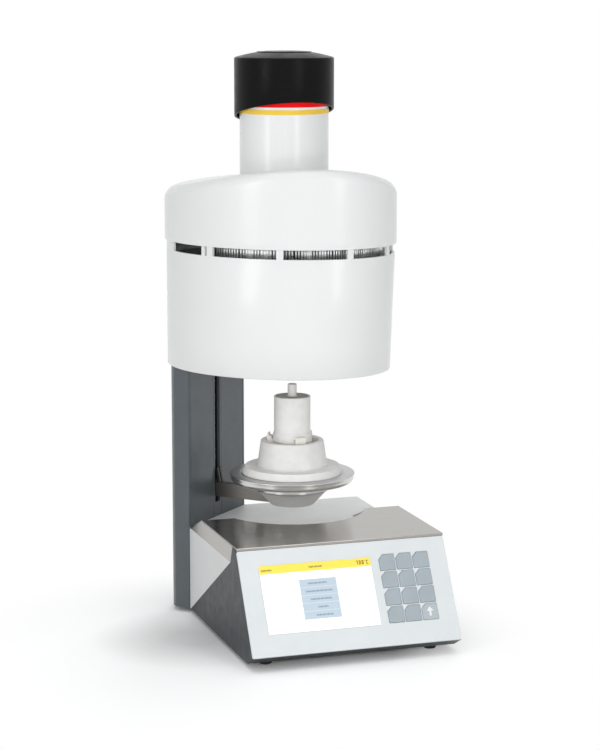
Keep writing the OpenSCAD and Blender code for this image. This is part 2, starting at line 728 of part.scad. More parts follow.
module heating_element() color("#7a4a3a") on_axis() for (i = [0:5])
    translate([0, 0, muffle_z + 10 + i * (chamber_top - muffle_z - 24) / 5]) difference() {
        cylinder(h = 4, r = muffle_in);
        translate([0, 0, -1]) cylinder(h = 6, r = muffle_in - 2.5);
    }

module chamber_lid() color("#eeeade") on_axis() translate([0, 0, chamber_top]) difference() {
    cylinder(h = lid_h, r = brick_r);
    translate([0, 0, -1]) cylinder(h = lid_h + 2, r = rod_r + free_gap);
}

module head_deck() color("#b4b7b9") on_axis() difference() {
    loft([head_at(deck_top - 3, shell_t + 0.2), head_at(deck_top, shell_t + 0.2)]);
    translate([0, 0, deck_top - 4]) cylinder(h = 6, r = rod_r + free_gap);
}

module heat_shield() color("#cfd2d3") on_axis() difference() {
    loft([head_at(deck_top, 16), [vent_top + 14, vent_c, vent_a - 16, vent_b - 16, 0]]);
    loft([head_at(deck_top - 1, 18), [vent_top + 15, vent_c, vent_a - 18, vent_b - 18, 0]]);
    for (t = [45:6:315]) translate([vent_c + 0.9 * vent_a * cos(t), 0.9 * vent_b * sin(t), vent_z - 5])
        rotate(t) box([-14, -2.5, 0], [14, 2.5, 25]);
}

module bridge_posts() color("#a0a3a5") on_axis() for (p = post_xy) translate([p.x, p.y, deck_top])
    cylinder(h = bridge_z - deck_top, r = 6);

module head_bridge() color("#b9bcbe") on_axis() difference() {
    translate([neck_c, 0, bridge_z]) cylinder(h = bridge_t, r = bridge_r);
    translate([0, 0, bridge_z - 1]) cylinder(h = bridge_t + 2, r = rod_r + free_gap);
}

module press_cylinder() color("#c9ccce") on_axis() difference() {
    translate([0, 0, bridge_z + bridge_t]) union() {
        cylinder(h = 90, r = 26);
        cylinder(h = 10, r = 32);
        translate([0, 0, 80]) cylinder(h = 10, r = 32);
    }
    translate([0, 0, bridge_z]) cylinder(h = bridge_t + 78, r = rod_r + run_gap);
}

module press_rod() color("#d5d7d8") on_axis() translate([0, 0, rod_z])
    cylinder(h = bridge_z + bridge_t + 50 - rod_z, r = rod_r);

module head_cover() color("#f2f4f4") on_axis() difference() {
    loft(cover_rings(0));
    loft(concat([[vent_top - 1, vent_c, vent_a + overhang - shell_t, vent_b + overhang - shell_t, 0]],
        cover_rings(shell_t)));
    translate([neck_c, 0, bridge_z]) cylinder(h = 100, r = neck_r + 0.1);
}

module neck_tube() color("#f0f2f2") on_axis() translate([neck_c, 0, bridge_z + bridge_t]) difference() {
    cylinder(h = neck_top - bridge_z - bridge_t, r = neck_r);
    translate([0, 0, -1]) cylinder(h = neck_top, r = neck_r - 3);
}

module signal_rings() on_axis() translate([neck_c, 0, 0]) {
    color("#f0be1e") translate([0, 0, yellow_z]) ring_band(yellow_h);
    color("#eb1c24") translate([0, 0, red_z]) ring_band(neck_top - red_z);
}

module ring_band(h) {
    difference() {
        cylinder(h = h, r = neck_r + 0.4);
        translate([0, 0, -1]) cylinder(h = h + 2, r = neck_r);
    }
}

// Share of the dome's rise that the cap's top has at radius r
function flat_dome(r) = (1 - pow(r / cap_r, 2)) / (1 - pow(24 / cap_r, 2));

module cap() color("#2b2b2c") on_axis() translate([neck_c, 0, 0]) difference() {
    rotate_extrude() polygon(concat([[0, neck_top], [cap_r - 3, neck_top], [cap_r - 3, cap_rim_z - 40],
        [cap_r, cap_rim_z - 40], [cap_r, cap_edge_z - 2], [cap_r - 2, cap_edge_z]],
        [for (i = [1:6]) let (r = cap_r - 2 - i * (cap_r - 26) / 6)
            [r, cap_edge_z + cap_dome * flat_dome(r)]],
        [[0, cap_edge_z + cap_dome]]));
    translate([0, 0, neck_top + 3]) cylinder(h = cap_edge_z - neck_top - 8, r = cap_r - 4);
    rotate(-135) translate([0, 0, cap_rim_z]) rotate([-cap_rim_angle, 0, 0])
        translate([-200, -200, -200]) cube([400, 400, 200]);
}

base_tub();
deck_body();
steel_tray();
front_panel();
touch_display();
key_1();
key_2();
key_3();
key_4();
key_5();
key_6();
key_7();
key_8();
key_9();
key_10();
key_11();
key_12();
keypad_board();
foot_pads();
main_board();
power_supply();
mains_inlet();
power_switch();
switch_rocker();
air_port();
column_profile();
column_bolts();
guide_rail();
guide_carriage();
lead_screw();
screw_bearings();
lift_motor();
slot_seal();
lift_arm();
arm_gusset();
table_bowl();
insulating_base();
muffle_stand();
stand_ring();
investment_cylinder();
press_pin();
head_base_plate();
head_bracket();
chamber_seal();
head_shell();
chamber_can();
chamber_insulation();
heating_muffle();
heating_element();
chamber_lid();
head_deck();
heat_shield();
bridge_posts();
head_bridge();
press_cylinder();
press_rod();
head_cover();
neck_tube();
signal_rings();
cap();
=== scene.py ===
"""Dental press furnace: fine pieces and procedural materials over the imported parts."""

import math

import bmesh
import bpy
from mathutils import Matrix, Vector


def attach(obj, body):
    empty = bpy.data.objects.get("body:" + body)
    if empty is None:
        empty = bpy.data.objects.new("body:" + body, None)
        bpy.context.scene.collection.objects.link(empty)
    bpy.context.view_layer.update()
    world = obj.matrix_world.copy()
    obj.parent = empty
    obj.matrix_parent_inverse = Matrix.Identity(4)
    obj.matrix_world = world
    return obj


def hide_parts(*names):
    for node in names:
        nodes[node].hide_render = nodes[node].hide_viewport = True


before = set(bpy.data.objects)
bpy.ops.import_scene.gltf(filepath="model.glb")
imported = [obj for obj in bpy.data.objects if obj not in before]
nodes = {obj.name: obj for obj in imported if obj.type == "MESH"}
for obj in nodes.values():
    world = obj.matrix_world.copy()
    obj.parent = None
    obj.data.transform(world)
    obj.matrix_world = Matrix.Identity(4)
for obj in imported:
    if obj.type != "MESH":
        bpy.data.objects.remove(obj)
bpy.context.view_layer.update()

# Sizes are in millimetres, with x to the right, y back from the tray's front edge and z up from the
# ground. MID is the middle of the footprint, where the frame has its origin; AXIS is the table's axis.
MM = 0.001
MID = Vector((-10.1594, 145.0094, 0.0))
AXIS = Vector((-2.0, 201.0, 0.0))
TO_PART = Matrix.Scale(MM, 4) @ Matrix.Translation(-MID)
# Column, arm and head lie on a line turned about the table's axis; x runs along it to the column
COLUMN_TURN = math.radians(135)
ON_AXIS = TO_PART @ Matrix.Translation(AXIS) @ Matrix.Rotation(COLUMN_TURN, 4, "Z")
# The sloped panel: its depth, the heights of its foot and top, and its own plane
PANEL_RUN, PANEL_FOOT, PANEL_TOP = 71.3, 20.0, 141.5
PANEL_LEN = math.hypot(PANEL_RUN, PANEL_TOP - PANEL_FOOT)
PANEL_ANGLE = math.atan2(PANEL_TOP - PANEL_FOOT, PANEL_RUN)
ON_PANEL = (
    TO_PART
    @ Matrix.Translation((0, -PANEL_RUN, PANEL_FOOT))
    @ Matrix.Rotation(PANEL_ANGLE, 4, "X")
)


# Materials


class Shader:
    """A node material on a Principled shader, with helpers that link one node to the next."""

    def __init__(self, name, rough=0.5, metal=0.0, **sockets):
        self.mat = bpy.data.materials.new(name)
        self.mat.use_nodes = True
        self.tree = self.mat.node_tree
        self.bsdf = self.tree.nodes["Principled BSDF"]
        self.bsdf.inputs["Roughness"].default_value = rough
        self.bsdf.inputs["Metallic"].default_value = metal
        for key, value in sockets.items():
            self.bsdf.inputs[key].default_value = value
        self.place = self.add("ShaderNodeTexCoord").outputs["Object"]

    def add(self, kind, **props):
        node = self.tree.nodes.new(kind)
        for key, value in props.items():
            setattr(node, key, value)
        return node

    def link(self, source, target):
        self.tree.links.new(source, target)

    def mapped(self, scale=(1, 1, 1), turn=0.0, move=(0, 0, 0), source=None):
        node = self.add("ShaderNodeMapping")
        node.inputs["Scale"].default_value = scale
        node.inputs["Rotation"].default_value = (0, 0, math.radians(turn))
        node.inputs["Location"].default_value = move
        self.link(source or self.place, node.inputs["Vector"])
        return node.outputs["Vector"]

    def noise(self, vector, scale, detail=3.0, rough=0.55):
        node = self.add("ShaderNodeTexNoise")
        node.inputs["Scale"].default_value = scale
        node.inputs["Detail"].default_value = detail
        node.inputs["Roughness"].default_value = rough
        self.link(vector, node.inputs["Vector"])
        return node.outputs["Fac"]

    def ramp(self, source, stops):
        node = self.add("ShaderNodeValToRGB")
        elements = node.color_ramp.elements
        elements[0].position, elements[-1].position = stops[0][0], stops[-1][0]
        elements[0].color, elements[-1].color = (*stops[0][1], 1), (*stops[-1][1], 1)
        for spot, colour in stops[1:-1]:
            elements.new(spot).color = (*colour, 1)
        self.link(source, node.inputs["Fac"])
        return node.outputs["Color"]

    def spread(self, source, low, high, start=0.3, stop=0.7):
        node = self.add("ShaderNodeMapRange")
        for key, value in (("From Min", start), ("From Max", stop), ("To Min", low), ("To Max", high)):
            node.inputs[key].default_value = value
        self.link(source, node.inputs["Value"])
        return node.outputs["Result"]

    def colour(self, source):
        self.link(source, self.bsdf.inputs["Base Color"])

    def roughness(self, source):
        self.link(source, self.bsdf.inputs["Roughness"])

    def bump(self, source, strength, distance, before=None):
        node = self.add("ShaderNodeBump")
        node.inputs["Strength"].default_value = strength
        node.inputs["Distance"].default_value = distance
        self.link(source, node.inputs["Height"])
        if before:
            self.link(before, node.inputs["Normal"])
        self.link(node.outputs["Normal"], self.bsdf.inputs["Normal"])
        return node.outputs["Normal"]


def shade(colour, factor):
    return tuple(min(1.0, c * factor) for c in colour)


def coated(name, colour, rough=0.4, vary=0.05, grain=900, depth=0.00004, strength=0.35, **sockets):
    """Paint or moulded plastic: slight clouding in the colour, uneven gloss and a fine skin."""
    s = Shader(name, rough, **sockets)
    cloud = s.noise(s.place, 22, 4)
    s.colour(s.ramp(cloud, [(0.3, shade(colour, 1 - vary)), (0.7, shade(colour, 1 + vary))]))
    s.roughness(s.spread(s.noise(s.place, 60, 3), rough - 0.05, rough + 0.06))
    s.bump(s.noise(s.place, grain, 2), strength, depth)
    return s.mat


def brushed(name, colour, along, rough=0.3, turn=0.0, depth=0.00002, smear=None):
    """Metal with a fine grain, stretched by along. smear is the way its reflections are drawn out."""
    s = Shader(name, rough, 1.0)
    grain = s.noise(s.mapped(along, turn), 1.0, 4, 0.7)
    s.colour(s.ramp(grain, [(0.3, shade(colour, 0.86)), (0.7, shade(colour, 1.1))]))
    s.roughness(s.spread(grain, rough - 0.07, rough + 0.09))
    s.bump(grain, 0.3, depth)
    if smear:
        way = s.add("ShaderNodeCombineXYZ")
        for axis, value in zip("XYZ", smear):
            way.inputs[axis].default_value = value
        s.link(way.outputs[0], s.bsdf.inputs["Tangent"])
        s.bsdf.inputs["Anisotropic"].default_value = 0.75
    return s.mat


def turned(name, colour, rough=0.35, pitch=2600.0, metal=1.0, centre=(0.0, 0.0), depth=0.00003):
    """Lathe marks: the grain depends only on the distance from the turning axis and the height."""
    s = Shader(name, rough, metal)
    place = s.mapped(move=(-centre[0], -centre[1], 0))
    split = s.add("ShaderNodeSeparateXYZ")
    s.link(place, split.inputs[0])
    flat = s.add("ShaderNodeCombineXYZ")
    s.link(split.outputs["X"], flat.inputs["X"])
    s.link(split.outputs["Y"], flat.inputs["Y"])
    radius = s.add("ShaderNodeVectorMath", operation="LENGTH")
    s.link(flat.outputs[0], radius.inputs[0])
    spot = s.add("ShaderNodeCombineXYZ")
    s.link(radius.outputs["Value"], spot.inputs["X"])
    s.link(split.outputs["Z"], spot.inputs["Y"])
    grain = s.noise(spot.outputs[0], pitch, 3, 0.7)
    cloud = s.noise(s.place, 30, 3)
    mix = s.add("ShaderNodeMath", operation="MULTIPLY_ADD")
    s.link(cloud, mix.inputs[0])
    mix.inputs[1].default_value = 0.5
    s.link(grain, mix.inputs[2])
    s.colour(s.ramp(mix.outputs[0], [(0.5, shade(colour, 0.88)), (1.0, shade(colour, 1.1))]))
    s.roughness(s.spread(grain, rough - 0.06, rough + 0.08))
    s.bump(grain, 0.35, depth)
    return s.mat


def fibrous(name, colour, spot=(0.5, 0.47, 0.4), rough=0.9, speck=0.06, depth=0.0003):
    """Ceramic fibre or cast investment: soft mottling, a few darker specks and fine pits."""
    s = Shader(name, rough)
    cloud = s.noise(s.place, 70, 5)
    body = s.ramp(cloud, [(0.25, shade(colour, 0.93)), (0.75, shade(colour, 1.03))])
    specks = s.ramp(s.noise(s.place, 520, 2), [(0.66, (0, 0, 0)), (0.74, (1, 1, 1))])
    mix = s.add("ShaderNodeMix", data_type="RGBA")
    strength = s.add("ShaderNodeMath", operation="MULTIPLY")
    s.link(specks, strength.inputs[0])
    strength.inputs[1].default_value = speck
    s.link(strength.outputs[0], mix.inputs["Factor"])
    s.link(body, mix.inputs["A"])
    mix.inputs["B"].default_value = (*spot, 1)
    s.colour(mix.outputs["Result"])
    s.roughness(s.spread(cloud, rough - 0.08, min(rough + 0.05, 1.0)))
    pits = s.bump(s.noise(s.place, 260, 4), 0.4, depth)
    s.bump(s.noise(s.place, 1500, 2), 0.3, depth * 0.3, pits)
    return s.mat


TURNING_AXIS = (ON_AXIS @ Vector((0, 0, 0)))[:2]
HEAD_WHITE = (0.765, 0.775, 0.775)
LOW = {"Specular IOR Level": 0.08}
SOFT = {"Specular IOR Level": 0.35}
COAT = {"Coat Weight": 0.6, "Coat Roughness": 0.17}
M = {
    "housing_dark": coated("housing_dark", (0.024, 0.030, 0.034), 0.45, 0.03, 1100, 0.000012, 0.2, **SOFT),
    "housing_light": coated("housing_light", (0.69, 0.70, 0.70), 0.45, 0.02, 1200, 0.00002, 0.2),
    # The deck's top: the housing's grey made lighter, as painted light for the shade under the table.
    "deck_top_painted_light": coated("deck_top_painted_light", (0.87, 0.875, 0.875), 0.45, 0.02, 1200, 0.00002, 0.2),
    "panel_light": coated("panel_light", (0.72, 0.755, 0.77), 0.4, 0.025, 1300, 0.00003, 0.3),
    "tray_steel": brushed("tray_steel", (0.40, 0.385, 0.36), (14, 900, 900), 0.2, 0.0, 0.000004, (0, 1, 0)),
    "bezel": coated("bezel", (0.74, 0.77, 0.78), 0.35, 0.03),
    "key_grey": coated("key_grey", (0.365, 0.425, 0.455), 0.42, 0.05, 1500, 0.00003, 0.4),
    "key_arrow": coated("key_arrow", (0.45, 0.50, 0.53), 0.42, 0.05, 1500, 0.00003, 0.4),
    "key_mark": coated("key_mark", (0.82, 0.85, 0.86), 0.4, 0.03),
    "board_green": coated("board_green", (0.02, 0.13, 0.06), 0.35, 0.2, 700),
    "foot_rubber": coated("foot_rubber", (0.012, 0.012, 0.013), 0.75, 0.2, 1600, 0.00008, 0.6),
    "zinc_sheet": brushed("zinc_sheet", (0.55, 0.56, 0.56), (220, 220, 60), 0.38),
    "black_plastic": coated("black_plastic", (0.014, 0.014, 0.015), 0.4, 0.2, 1300),
    "switch_red": coated("switch_red", (0.42, 0.02, 0.014), 0.25, 0.08, 900),
    "column_coat": coated("column_coat", (0.078, 0.094, 0.102), 0.36, 0.08, 1000, 0.00004, 0.35),
    "steel_ground": brushed("steel_ground", (0.50, 0.51, 0.52), (800, 800, 40), 0.25),
    "alu_turned": turned("alu_turned", (0.66, 0.66, 0.65), 0.26, 2400, 1.0, TURNING_AXIS, 0.000012),
    "alu_disc": turned("alu_disc", (0.50, 0.50, 0.50), 0.34, 2400, 1.0, TURNING_AXIS, 0.000012),
    "alu_matt": turned("alu_matt", (0.62, 0.61, 0.60), 0.5, 2400, 0.2, TURNING_AXIS),
    # The arm's metal is darkened as painted shade, for the shade it lies in under the table; its brushed
    # grain is the metal's own.
    "arm_brushed": brushed("arm_brushed", (0.25, 0.235, 0.22), (900, 30, 900), 0.35, 45),
    "ceramic_white": fibrous("ceramic_white", (0.89, 0.885, 0.87)),
    "ceramic_stand": fibrous("ceramic_stand", (0.84, 0.835, 0.82), speck=0.05),
    "ceramic_cream": fibrous("ceramic_cream", (0.88, 0.855, 0.79), (0.66, 0.58, 0.45), 0.8),
    "investment_white": fibrous("investment_white", (0.86, 0.855, 0.845), (0.6, 0.6, 0.58), 0.85, 0.04),
    "investment_rim": fibrous("investment_rim", (0.60, 0.59, 0.57), (0.4, 0.38, 0.35), 0.9, 0.08),
    "pin_white": fibrous("pin_white", (0.86, 0.855, 0.84), (0.7, 0.68, 0.6), 0.5, 0.03, 0.0001),
    "seal_fibre": fibrous("seal_fibre", (0.58, 0.55, 0.47), (0.3, 0.26, 0.2), 0.95, 0.2, 0.0006),
    "shell_white": coated("shell_white", HEAD_WHITE, 0.4, 0.004, 900, 0.000004, 0.1, **COAT),
    "element_wire": coated("element_wire", (0.16, 0.07, 0.045), 0.6, 0.25, 900),
    "cap_black": coated("cap_black", (0.005, 0.005, 0.005), 0.3, 0.12, 1400, 0.00001, 0.1, **LOW),
    "cap_disc": coated("cap_disc", (0.004, 0.004, 0.004), 0.3, 0.1, 1400, 0.00002, 0.15, **LOW),
    "ring_yellow": coated("ring_yellow", (0.86, 0.56, 0.025), 0.35, 0.03),
    "ring_red": coated("ring_red", (0.86, 0.006, 0.008), 0.3, 0.04, **LOW),
    "shield_strip": brushed("shield_strip", (0.93, 0.94, 0.95), (900, 900, 30), 0.45),
}


# Shapes


def finish_mesh(name, bm, material, matrix, smooth=35.0):
    mesh = bpy.data.meshes.new(name)
    bmesh.ops.recalc_face_normals(bm, faces=bm.faces)
    bm.to_mesh(mesh)
    bm.free()
    mesh.transform(matrix)
    mesh.shade_smooth()
    mesh.set_sharp_from_angle(angle=math.radians(smooth))
    for m in material if isinstance(material, (list, tuple)) else [material]:
        mesh.materials.append(m)
    obj = bpy.data.objects.new(name, mesh)
    bpy.context.collection.objects.link(obj)
    return obj


def skin(bm, a, b):
    """Band of faces between two closed loops of as many points."""
    for i in range(len(a)):
        j = (i + 1) % len(a)
        bm.faces.new((a[i], a[j], b[j], b[i]))


def revolve(name, profile, material, matrix=ON_AXIS, steps=160, smooth=35.0, close=False):
    """Turned solid from [radius, height] points."""
    bm = bmesh.new()
    rings = []
    for r, z in profile:
        if r < 1e-6:
            rings.append([bm.verts.new((0, 0, z))])
        else:
            turns = [2 * math.pi * i / steps for i in range(steps)]
            rings.append([bm.verts.new((r * math.cos(t), r * math.sin(t), z)) for t in turns])
    pairs = list(zip(rings, rings[1:])) + ([(rings[-1], rings[0])] if close else [])
    for a, b in pairs:
        for i in range(steps):
            j = (i + 1) % steps
            ring = [a[i % len(a)], a[j % len(a)], b[j % len(b)], b[i % len(b)]]
            face = list(dict.fromkeys(ring))
            if len(face) > 2:
                bm.faces.new(face)
    return finish_mesh(name, bm, material, matrix, smooth)


def arc(cx, cz, r, start, stop, n=8):
    """Points of an arc on a profile, in degrees."""
    return [
        (cx + r * math.cos(math.radians(start + (stop - start) * i / n)),
         cz + r * math.sin(math.radians(start + (stop - start) * i / n)))
        for i in range(n + 1)
    ]


def bevel(obj, width, segments=3, angle=35.0):
    mod = obj.modifiers.new("edge", "BEVEL")
    mod.width = width * MM
    mod.segments = segments
    mod.limit_method = "ANGLE"
    mod.angle_limit = math.radians(angle)
    mod.use_clamp_overlap = True
    mod.harden_normals = True
    return obj


def prism(name, points, low, high, material, matrix=TO_PART, edge=0.6, segments=3):
    """Outline extruded between two levels of the matrix's z, with rounded edges."""
    bm = bmesh.new()
    base = [bm.verts.new((x, y, low)) for x, y in points]
    top = [bm.verts.new((x, y, high)) for x, y in points]
    bm.faces.new(base[::-1])
    bm.faces.new(top)
    skin(bm, base, top)
    obj = finish_mesh(name, bm, material, matrix, 30)
    return bevel(obj, edge, segments) if edge else obj


# SIDE stands an outline up in y and z and extrudes it along x, UPRIGHT in x and z, along y
SIDE = Matrix(((0, 0, 1, 0), (1, 0, 0, 0), (0, 1, 0, 0), (0, 0, 0, 1)))
UPRIGHT = Matrix(((1, 0, 0, 0), (0, 0, 1, 0), (0, 1, 0, 0), (0, 0, 0, 1)))


def box(name, low, high, material, matrix=TO_PART, edge=0.5):
    points = [(low[0], low[1]), (high[0], low[1]), (high[0], high[1]), (low[0], high[1])]
    return prism(name, points, low[2], high[2], material, matrix, edge)


def plate(name, outline, holes, low, high, material, matrix, edge=0.5):
    """Flat sheet with holes and rounded edges, from a filled curve turned into a mesh."""
    data = bpy.data.curves.new(name, "CURVE")
    data.dimensions = "2D"
    data.fill_mode = "BOTH"
    data.extrude = (high - low) / 2 - edge
    data.bevel_depth = edge
    data.bevel_resolution = 2
    data.offset = -edge
    for loop in [outline] + holes:
        spline = data.splines.new("POLY")
        spline.points.add(len(loop) - 1)
        for point, (x, y) in zip(spline.points, loop):
            point.co = (x, y, 0, 1)
        spline.use_cyclic_u = True
    temp = bpy.data.objects.new(name + "_curve", data)
    mesh = bpy.data.meshes.new_from_object(temp)
    bpy.data.objects.remove(temp)
    mesh.transform(matrix @ Matrix.Translation((0, 0, (low + high) / 2)))
    mesh.name = name
    mesh.shade_smooth()
    mesh.set_sharp_from_angle(angle=math.radians(40))
    mesh.materials.clear()
    mesh.materials.append(material)
    obj = bpy.data.objects.new(name, mesh)
    bpy.context.collection.objects.link(obj)
    return obj


def rounded(x0, y0, x1, y1, r, n=6):
    """Rectangle with round corners; r is one radius or four, from the lower left, anticlockwise."""
    rs = r if isinstance(r, (list, tuple)) else [r] * 4
    points = []
    for (cx, cy, start), k in zip(((x0, y0, 180), (x1, y0, 270), (x1, y1, 0), (x0, y1, 90)), rs):
        ox = k if cx == x0 else -k
        oy = k if cy == y0 else -k
        points += arc(cx + ox, cy + oy, k, start, start + 90, n) if k > 0 else [(cx, cy)]
    return points


# The cover's top: slope to the rear from the crest's depth, arch to both sides of the crest's middle
FALL_SLOPE, CREST_BACK, FALL_ARCH, CREST_ACROSS = 0.1, -128, 0.0009, -25


def top_fall(x, y):
    """How far the cover's top lies below its crest: it slopes to the rear and arches sideways."""
    across, back = -(x + y) / math.sqrt(2), (x - y) / math.sqrt(2)
    return FALL_SLOPE * (back - CREST_BACK) + FALL_ARCH * (across - CREST_ACROSS) ** 2


def oval(centre, long, wide, t):
    return centre + long * math.cos(t), wide * math.sin(t)


def loft(name, rings, material, matrix=ON_AXIS, steps=288, smooth=30.0, close=False):
    """Skin through ovals (height, centre, half length, half width, share of the fall)."""
    bm = bmesh.new()
    loops = []
    for z, centre, long, wide, share in rings:
        loop = []
        for i in range(steps):
            x, y = oval(centre, long, wide, 2 * math.pi * i / steps)
            loop.append(bm.verts.new((x, y, z - share * top_fall(x, y))))
        loops.append(loop)
    pairs = list(zip(loops, loops[1:])) + ([(loops[-1], loops[0])] if close else [])
    for lower, upper in pairs:
        skin(bm, lower, upper)
    return finish_mesh(name, bm, material, matrix, smooth)


def place(obj, body, *replaced, slot=None):
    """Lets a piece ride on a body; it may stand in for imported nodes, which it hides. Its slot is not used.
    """
    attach(obj, body)
    if replaced:
        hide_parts(*replaced)
    return obj


# Base

# Half width; levels of the column's foot, the deck and the tray; depths where the tray ends on the
# deck and where its side skirts begin
HALF = 142.0
FLOOR, DECK, TRAY = 6.0, 121.0, 145.3
SPLIT_Y, SPLIT_TOP = 226.0, 28.0


def dress(key, material):
    """New material on a solid that is kept as it was packed."""
    mesh = nodes[key].data
    mesh.materials.clear()
    mesh.materials.append(M[material])
    return mesh


def housings():
    for key, material in (("base_tub", "housing_dark"), ("deck_body", "housing_light")):
        dress(key, material)
        bevel(nodes[key], 1.2, 3, 30)
    # The deck's top faces take a lighter copy of the housing's grey: painted light for the shade under the
    # table and tray.
    deck = nodes["deck_body"].data
    deck.materials.append(M["deck_top_painted_light"])
    for face in deck.polygons:
        if abs(face.center.z - DECK * MM) < 0.2 * MM:
            face.material_index = 1


housings()

# Front panel and keys: x runs from the panel's middle, y up the slope from its foot

KEY, KEY_PITCH, KEY_CUT, KEY_ROUND, KEY_GAP = 21.3, 23.5, 7.0, 1.0, 0.35
KEYS_LEFT, KEYS_DOWN, KEYS = 47.4, 19.2, range(1, 13)
SCREEN_W, SCREEN_H, SCREEN_LEFT, SCREEN_DOWN = 152.4, 91.4, -116.3, 21.2
DX0, DX1 = SCREEN_LEFT, SCREEN_LEFT + SCREEN_W
DY0, DY1 = PANEL_LEN - SCREEN_DOWN - SCREEN_H, PANEL_LEN - SCREEN_DOWN


def key_middle(i):
    c, r = (i - 1) % 3, (i - 1) // 3
    return KEYS_LEFT + KEY / 2 + c * KEY_PITCH, PANEL_LEN - KEYS_DOWN - KEY / 2 - r * KEY_PITCH


def key_outline(grow, cut=KEY_CUT):
    """Square with a cut upper left corner, grown on all sides."""
    h = KEY / 2 + grow
    square = rounded(-h, -h, h, h, [KEY_ROUND, KEY_ROUND, KEY_ROUND, 0])
    upper = [(-h + cut - 0.4, h), (-h + cut - 0.9, h - 0.2)]
    return square[:-1] + upper + [(-h + 0.2, h - cut + 0.9), (-h, h - cut + 0.4)]


def shifted(points, x, y):
    return [(px + x, py + y) for px, py in points]


def front_panel():
    gap = 0.1
    holes = [rounded(DX0 - gap, DY0 - gap, DX1 + gap, DY1 + gap, 0.7)]
    holes += [shifted(key_outline(KEY_GAP, KEY_CUT + 0.2), *key_middle(i)) for i in KEYS]
    outline = rounded(-HALF + 0.2, 0, HALF - 0.2, PANEL_LEN, 2.0)
    panel = plate("front_panel_face", outline, holes, -4, 0, M["panel_light"], ON_PANEL, 0.6)
    place(panel, "base", "front_panel", slot="panel_light")


def key(i):
    """Key with a collar under the panel and a slightly hollow face, and its stem."""
    x, y = key_middle(i)
    collar = [(-5.2, 0.85), (-4.0, 0.85), (-4.0, 0.0)]
    edge = [(0.25, 0.0), (0.62, -0.18), (0.83, -0.55), (0.9, -1.1)]
    bm = bmesh.new()
    loops = []
    for z, grow in collar + edge:
        loops.append([bm.verts.new((px, py, z)) for px, py in shifted(key_outline(grow), x, y)])
    for a, b in zip(loops, loops[1:]):
        skin(bm, a, b)
    bm.faces.new(loops[0][::-1])
    middle = bm.verts.new((x, y, 0.72))
    inner = [bm.verts.new((x + (v.co.x - x) * 0.6, y + (v.co.y - y) * 0.6, 0.76)) for v in loops[-1]]
    skin(bm, loops[-1], inner)
    for k in range(len(inner)):
        bm.faces.new((inner[k], inner[(k + 1) % len(inner)], middle))
    top = finish_mesh(f"key_{i}_top", bm, M["key_arrow" if i == 12 else "key_grey"], ON_PANEL, 50)
    profile = [(0, -8.2), (2.7, -8.2), (3, -7.9), (3, -5.2), (0, -5.2)]
    foot = ON_PANEL @ Matrix.Translation((x, y, 0))
    stem = revolve(f"key_{i}_stem", profile, M["black_plastic"], foot, 32)
    place(top, f"key_{i}_cap", f"key_{i}", slot="key_grey")
    place(stem, f"key_{i}_cap")


def arrow():
    outline = [(-1.5, -6.0), (1.5, -6.0), (1.5, 0.6), (5.0, 0.6), (0, 6.2), (-5.0, 0.6), (-1.5, 0.6)]
    outline = shifted(outline, *key_middle(12))
    place(prism("key_12_arrow", outline, 0.7, 0.86, M["key_mark"], ON_PANEL, 0.0), "key_12_cap")


front_panel()
for i in KEYS:
    key(i)
arrow()

# Display


def lit(name, colour, glow=0.55):
    """Lit screen area: the colour glows a little behind a glossy face, with a fine pixel grid."""
    s = Shader(name, 0.16, 0.0)
    grid = s.noise(s.place, 2600, 1)
    tone = s.ramp(grid, [(0.3, shade(colour, 0.965)), (0.7, colour)])
    s.colour(tone)
    s.link(tone, s.bsdf.inputs["Emission Color"])
    s.bsdf.inputs["Emission Strength"].default_value = glow
    return s.mat


SCREEN = {
    "white": lit("screen_white", (0.86, 0.87, 0.87), 0.35),
    "yellow": lit("screen_yellow", (0.86, 0.66, 0.08), 0.3),
    "pale": lit("screen_pale_blue", (0.46, 0.55, 0.62), 0.22),
    "line": lit("screen_line", (0.62, 0.68, 0.75), 0.25),
    "blue": lit("screen_blue", (0.24, 0.32, 0.44), 0.1),
    "brown": lit("screen_brown", (0.26, 0.20, 0.04), 0.05),
}
# Strokes of a figure, lettered clockwise from the top
STROKES = {"7": "abc", "0": "abcdef", "C": "adef"}


def on_screen(name, u0, v0, u1, v1, colour, level=0):
    """Flat patch on the lit area: u runs right, v down, both from 0 to 1."""
    rim, lowest, step = 0.35, -0.345, 0.02
    w, h = DX1 - DX0 - 2 * rim, DY1 - DY0 - 2 * rim
    z = lowest + step * level
    bm = bmesh.new()
    x0, x1 = DX0 + rim + u0 * w, DX0 + rim + u1 * w
    y0, y1 = DY1 - rim - v1 * h, DY1 - rim - v0 * h
    bm.faces.new([bm.verts.new(p) for p in ((x0, y0, z), (x1, y0, z), (x1, y1, z), (x0, y1, z))])
    return place(finish_mesh(name, bm, SCREEN[colour], ON_PANEL), "base")


def letters(name, u0, v0, u1, v1, colour):
    """Row of short strokes in place of a word."""
    u, k = u0, 0
    while u < u1 - 0.004:
        wide = 0.006 + 0.003 * ((k * 7) % 3)
        tall = 0.004 * ((k * 5) % 3)
        on_screen(f"{name}_{k}", u, v0 + tall, min(u + wide, u1), v1, colour, 3)
        u += wide + 0.0035
        k += 1


def figure(name, sign, u):
    """Figure of plain strokes at u on the yellow bar."""
    v, w, h, t = 0.032, 0.018, 0.06, 0.0075
    flat = 1.6 * t
    parts = {
        "a": (0, 0, w, flat), "b": (w - t, 0, w, h / 2), "c": (w - t, h / 2, w, h),
        "d": (0, h - flat, w, h), "e": (0, h / 2, t, h), "f": (0, 0, t, h / 2),
    }
    for s in STROKES[sign]:
        a, b, c, d = parts[s]
        on_screen(f"{name}_{s}", u + a, v + b, u + c, v + d, "brown", 2)


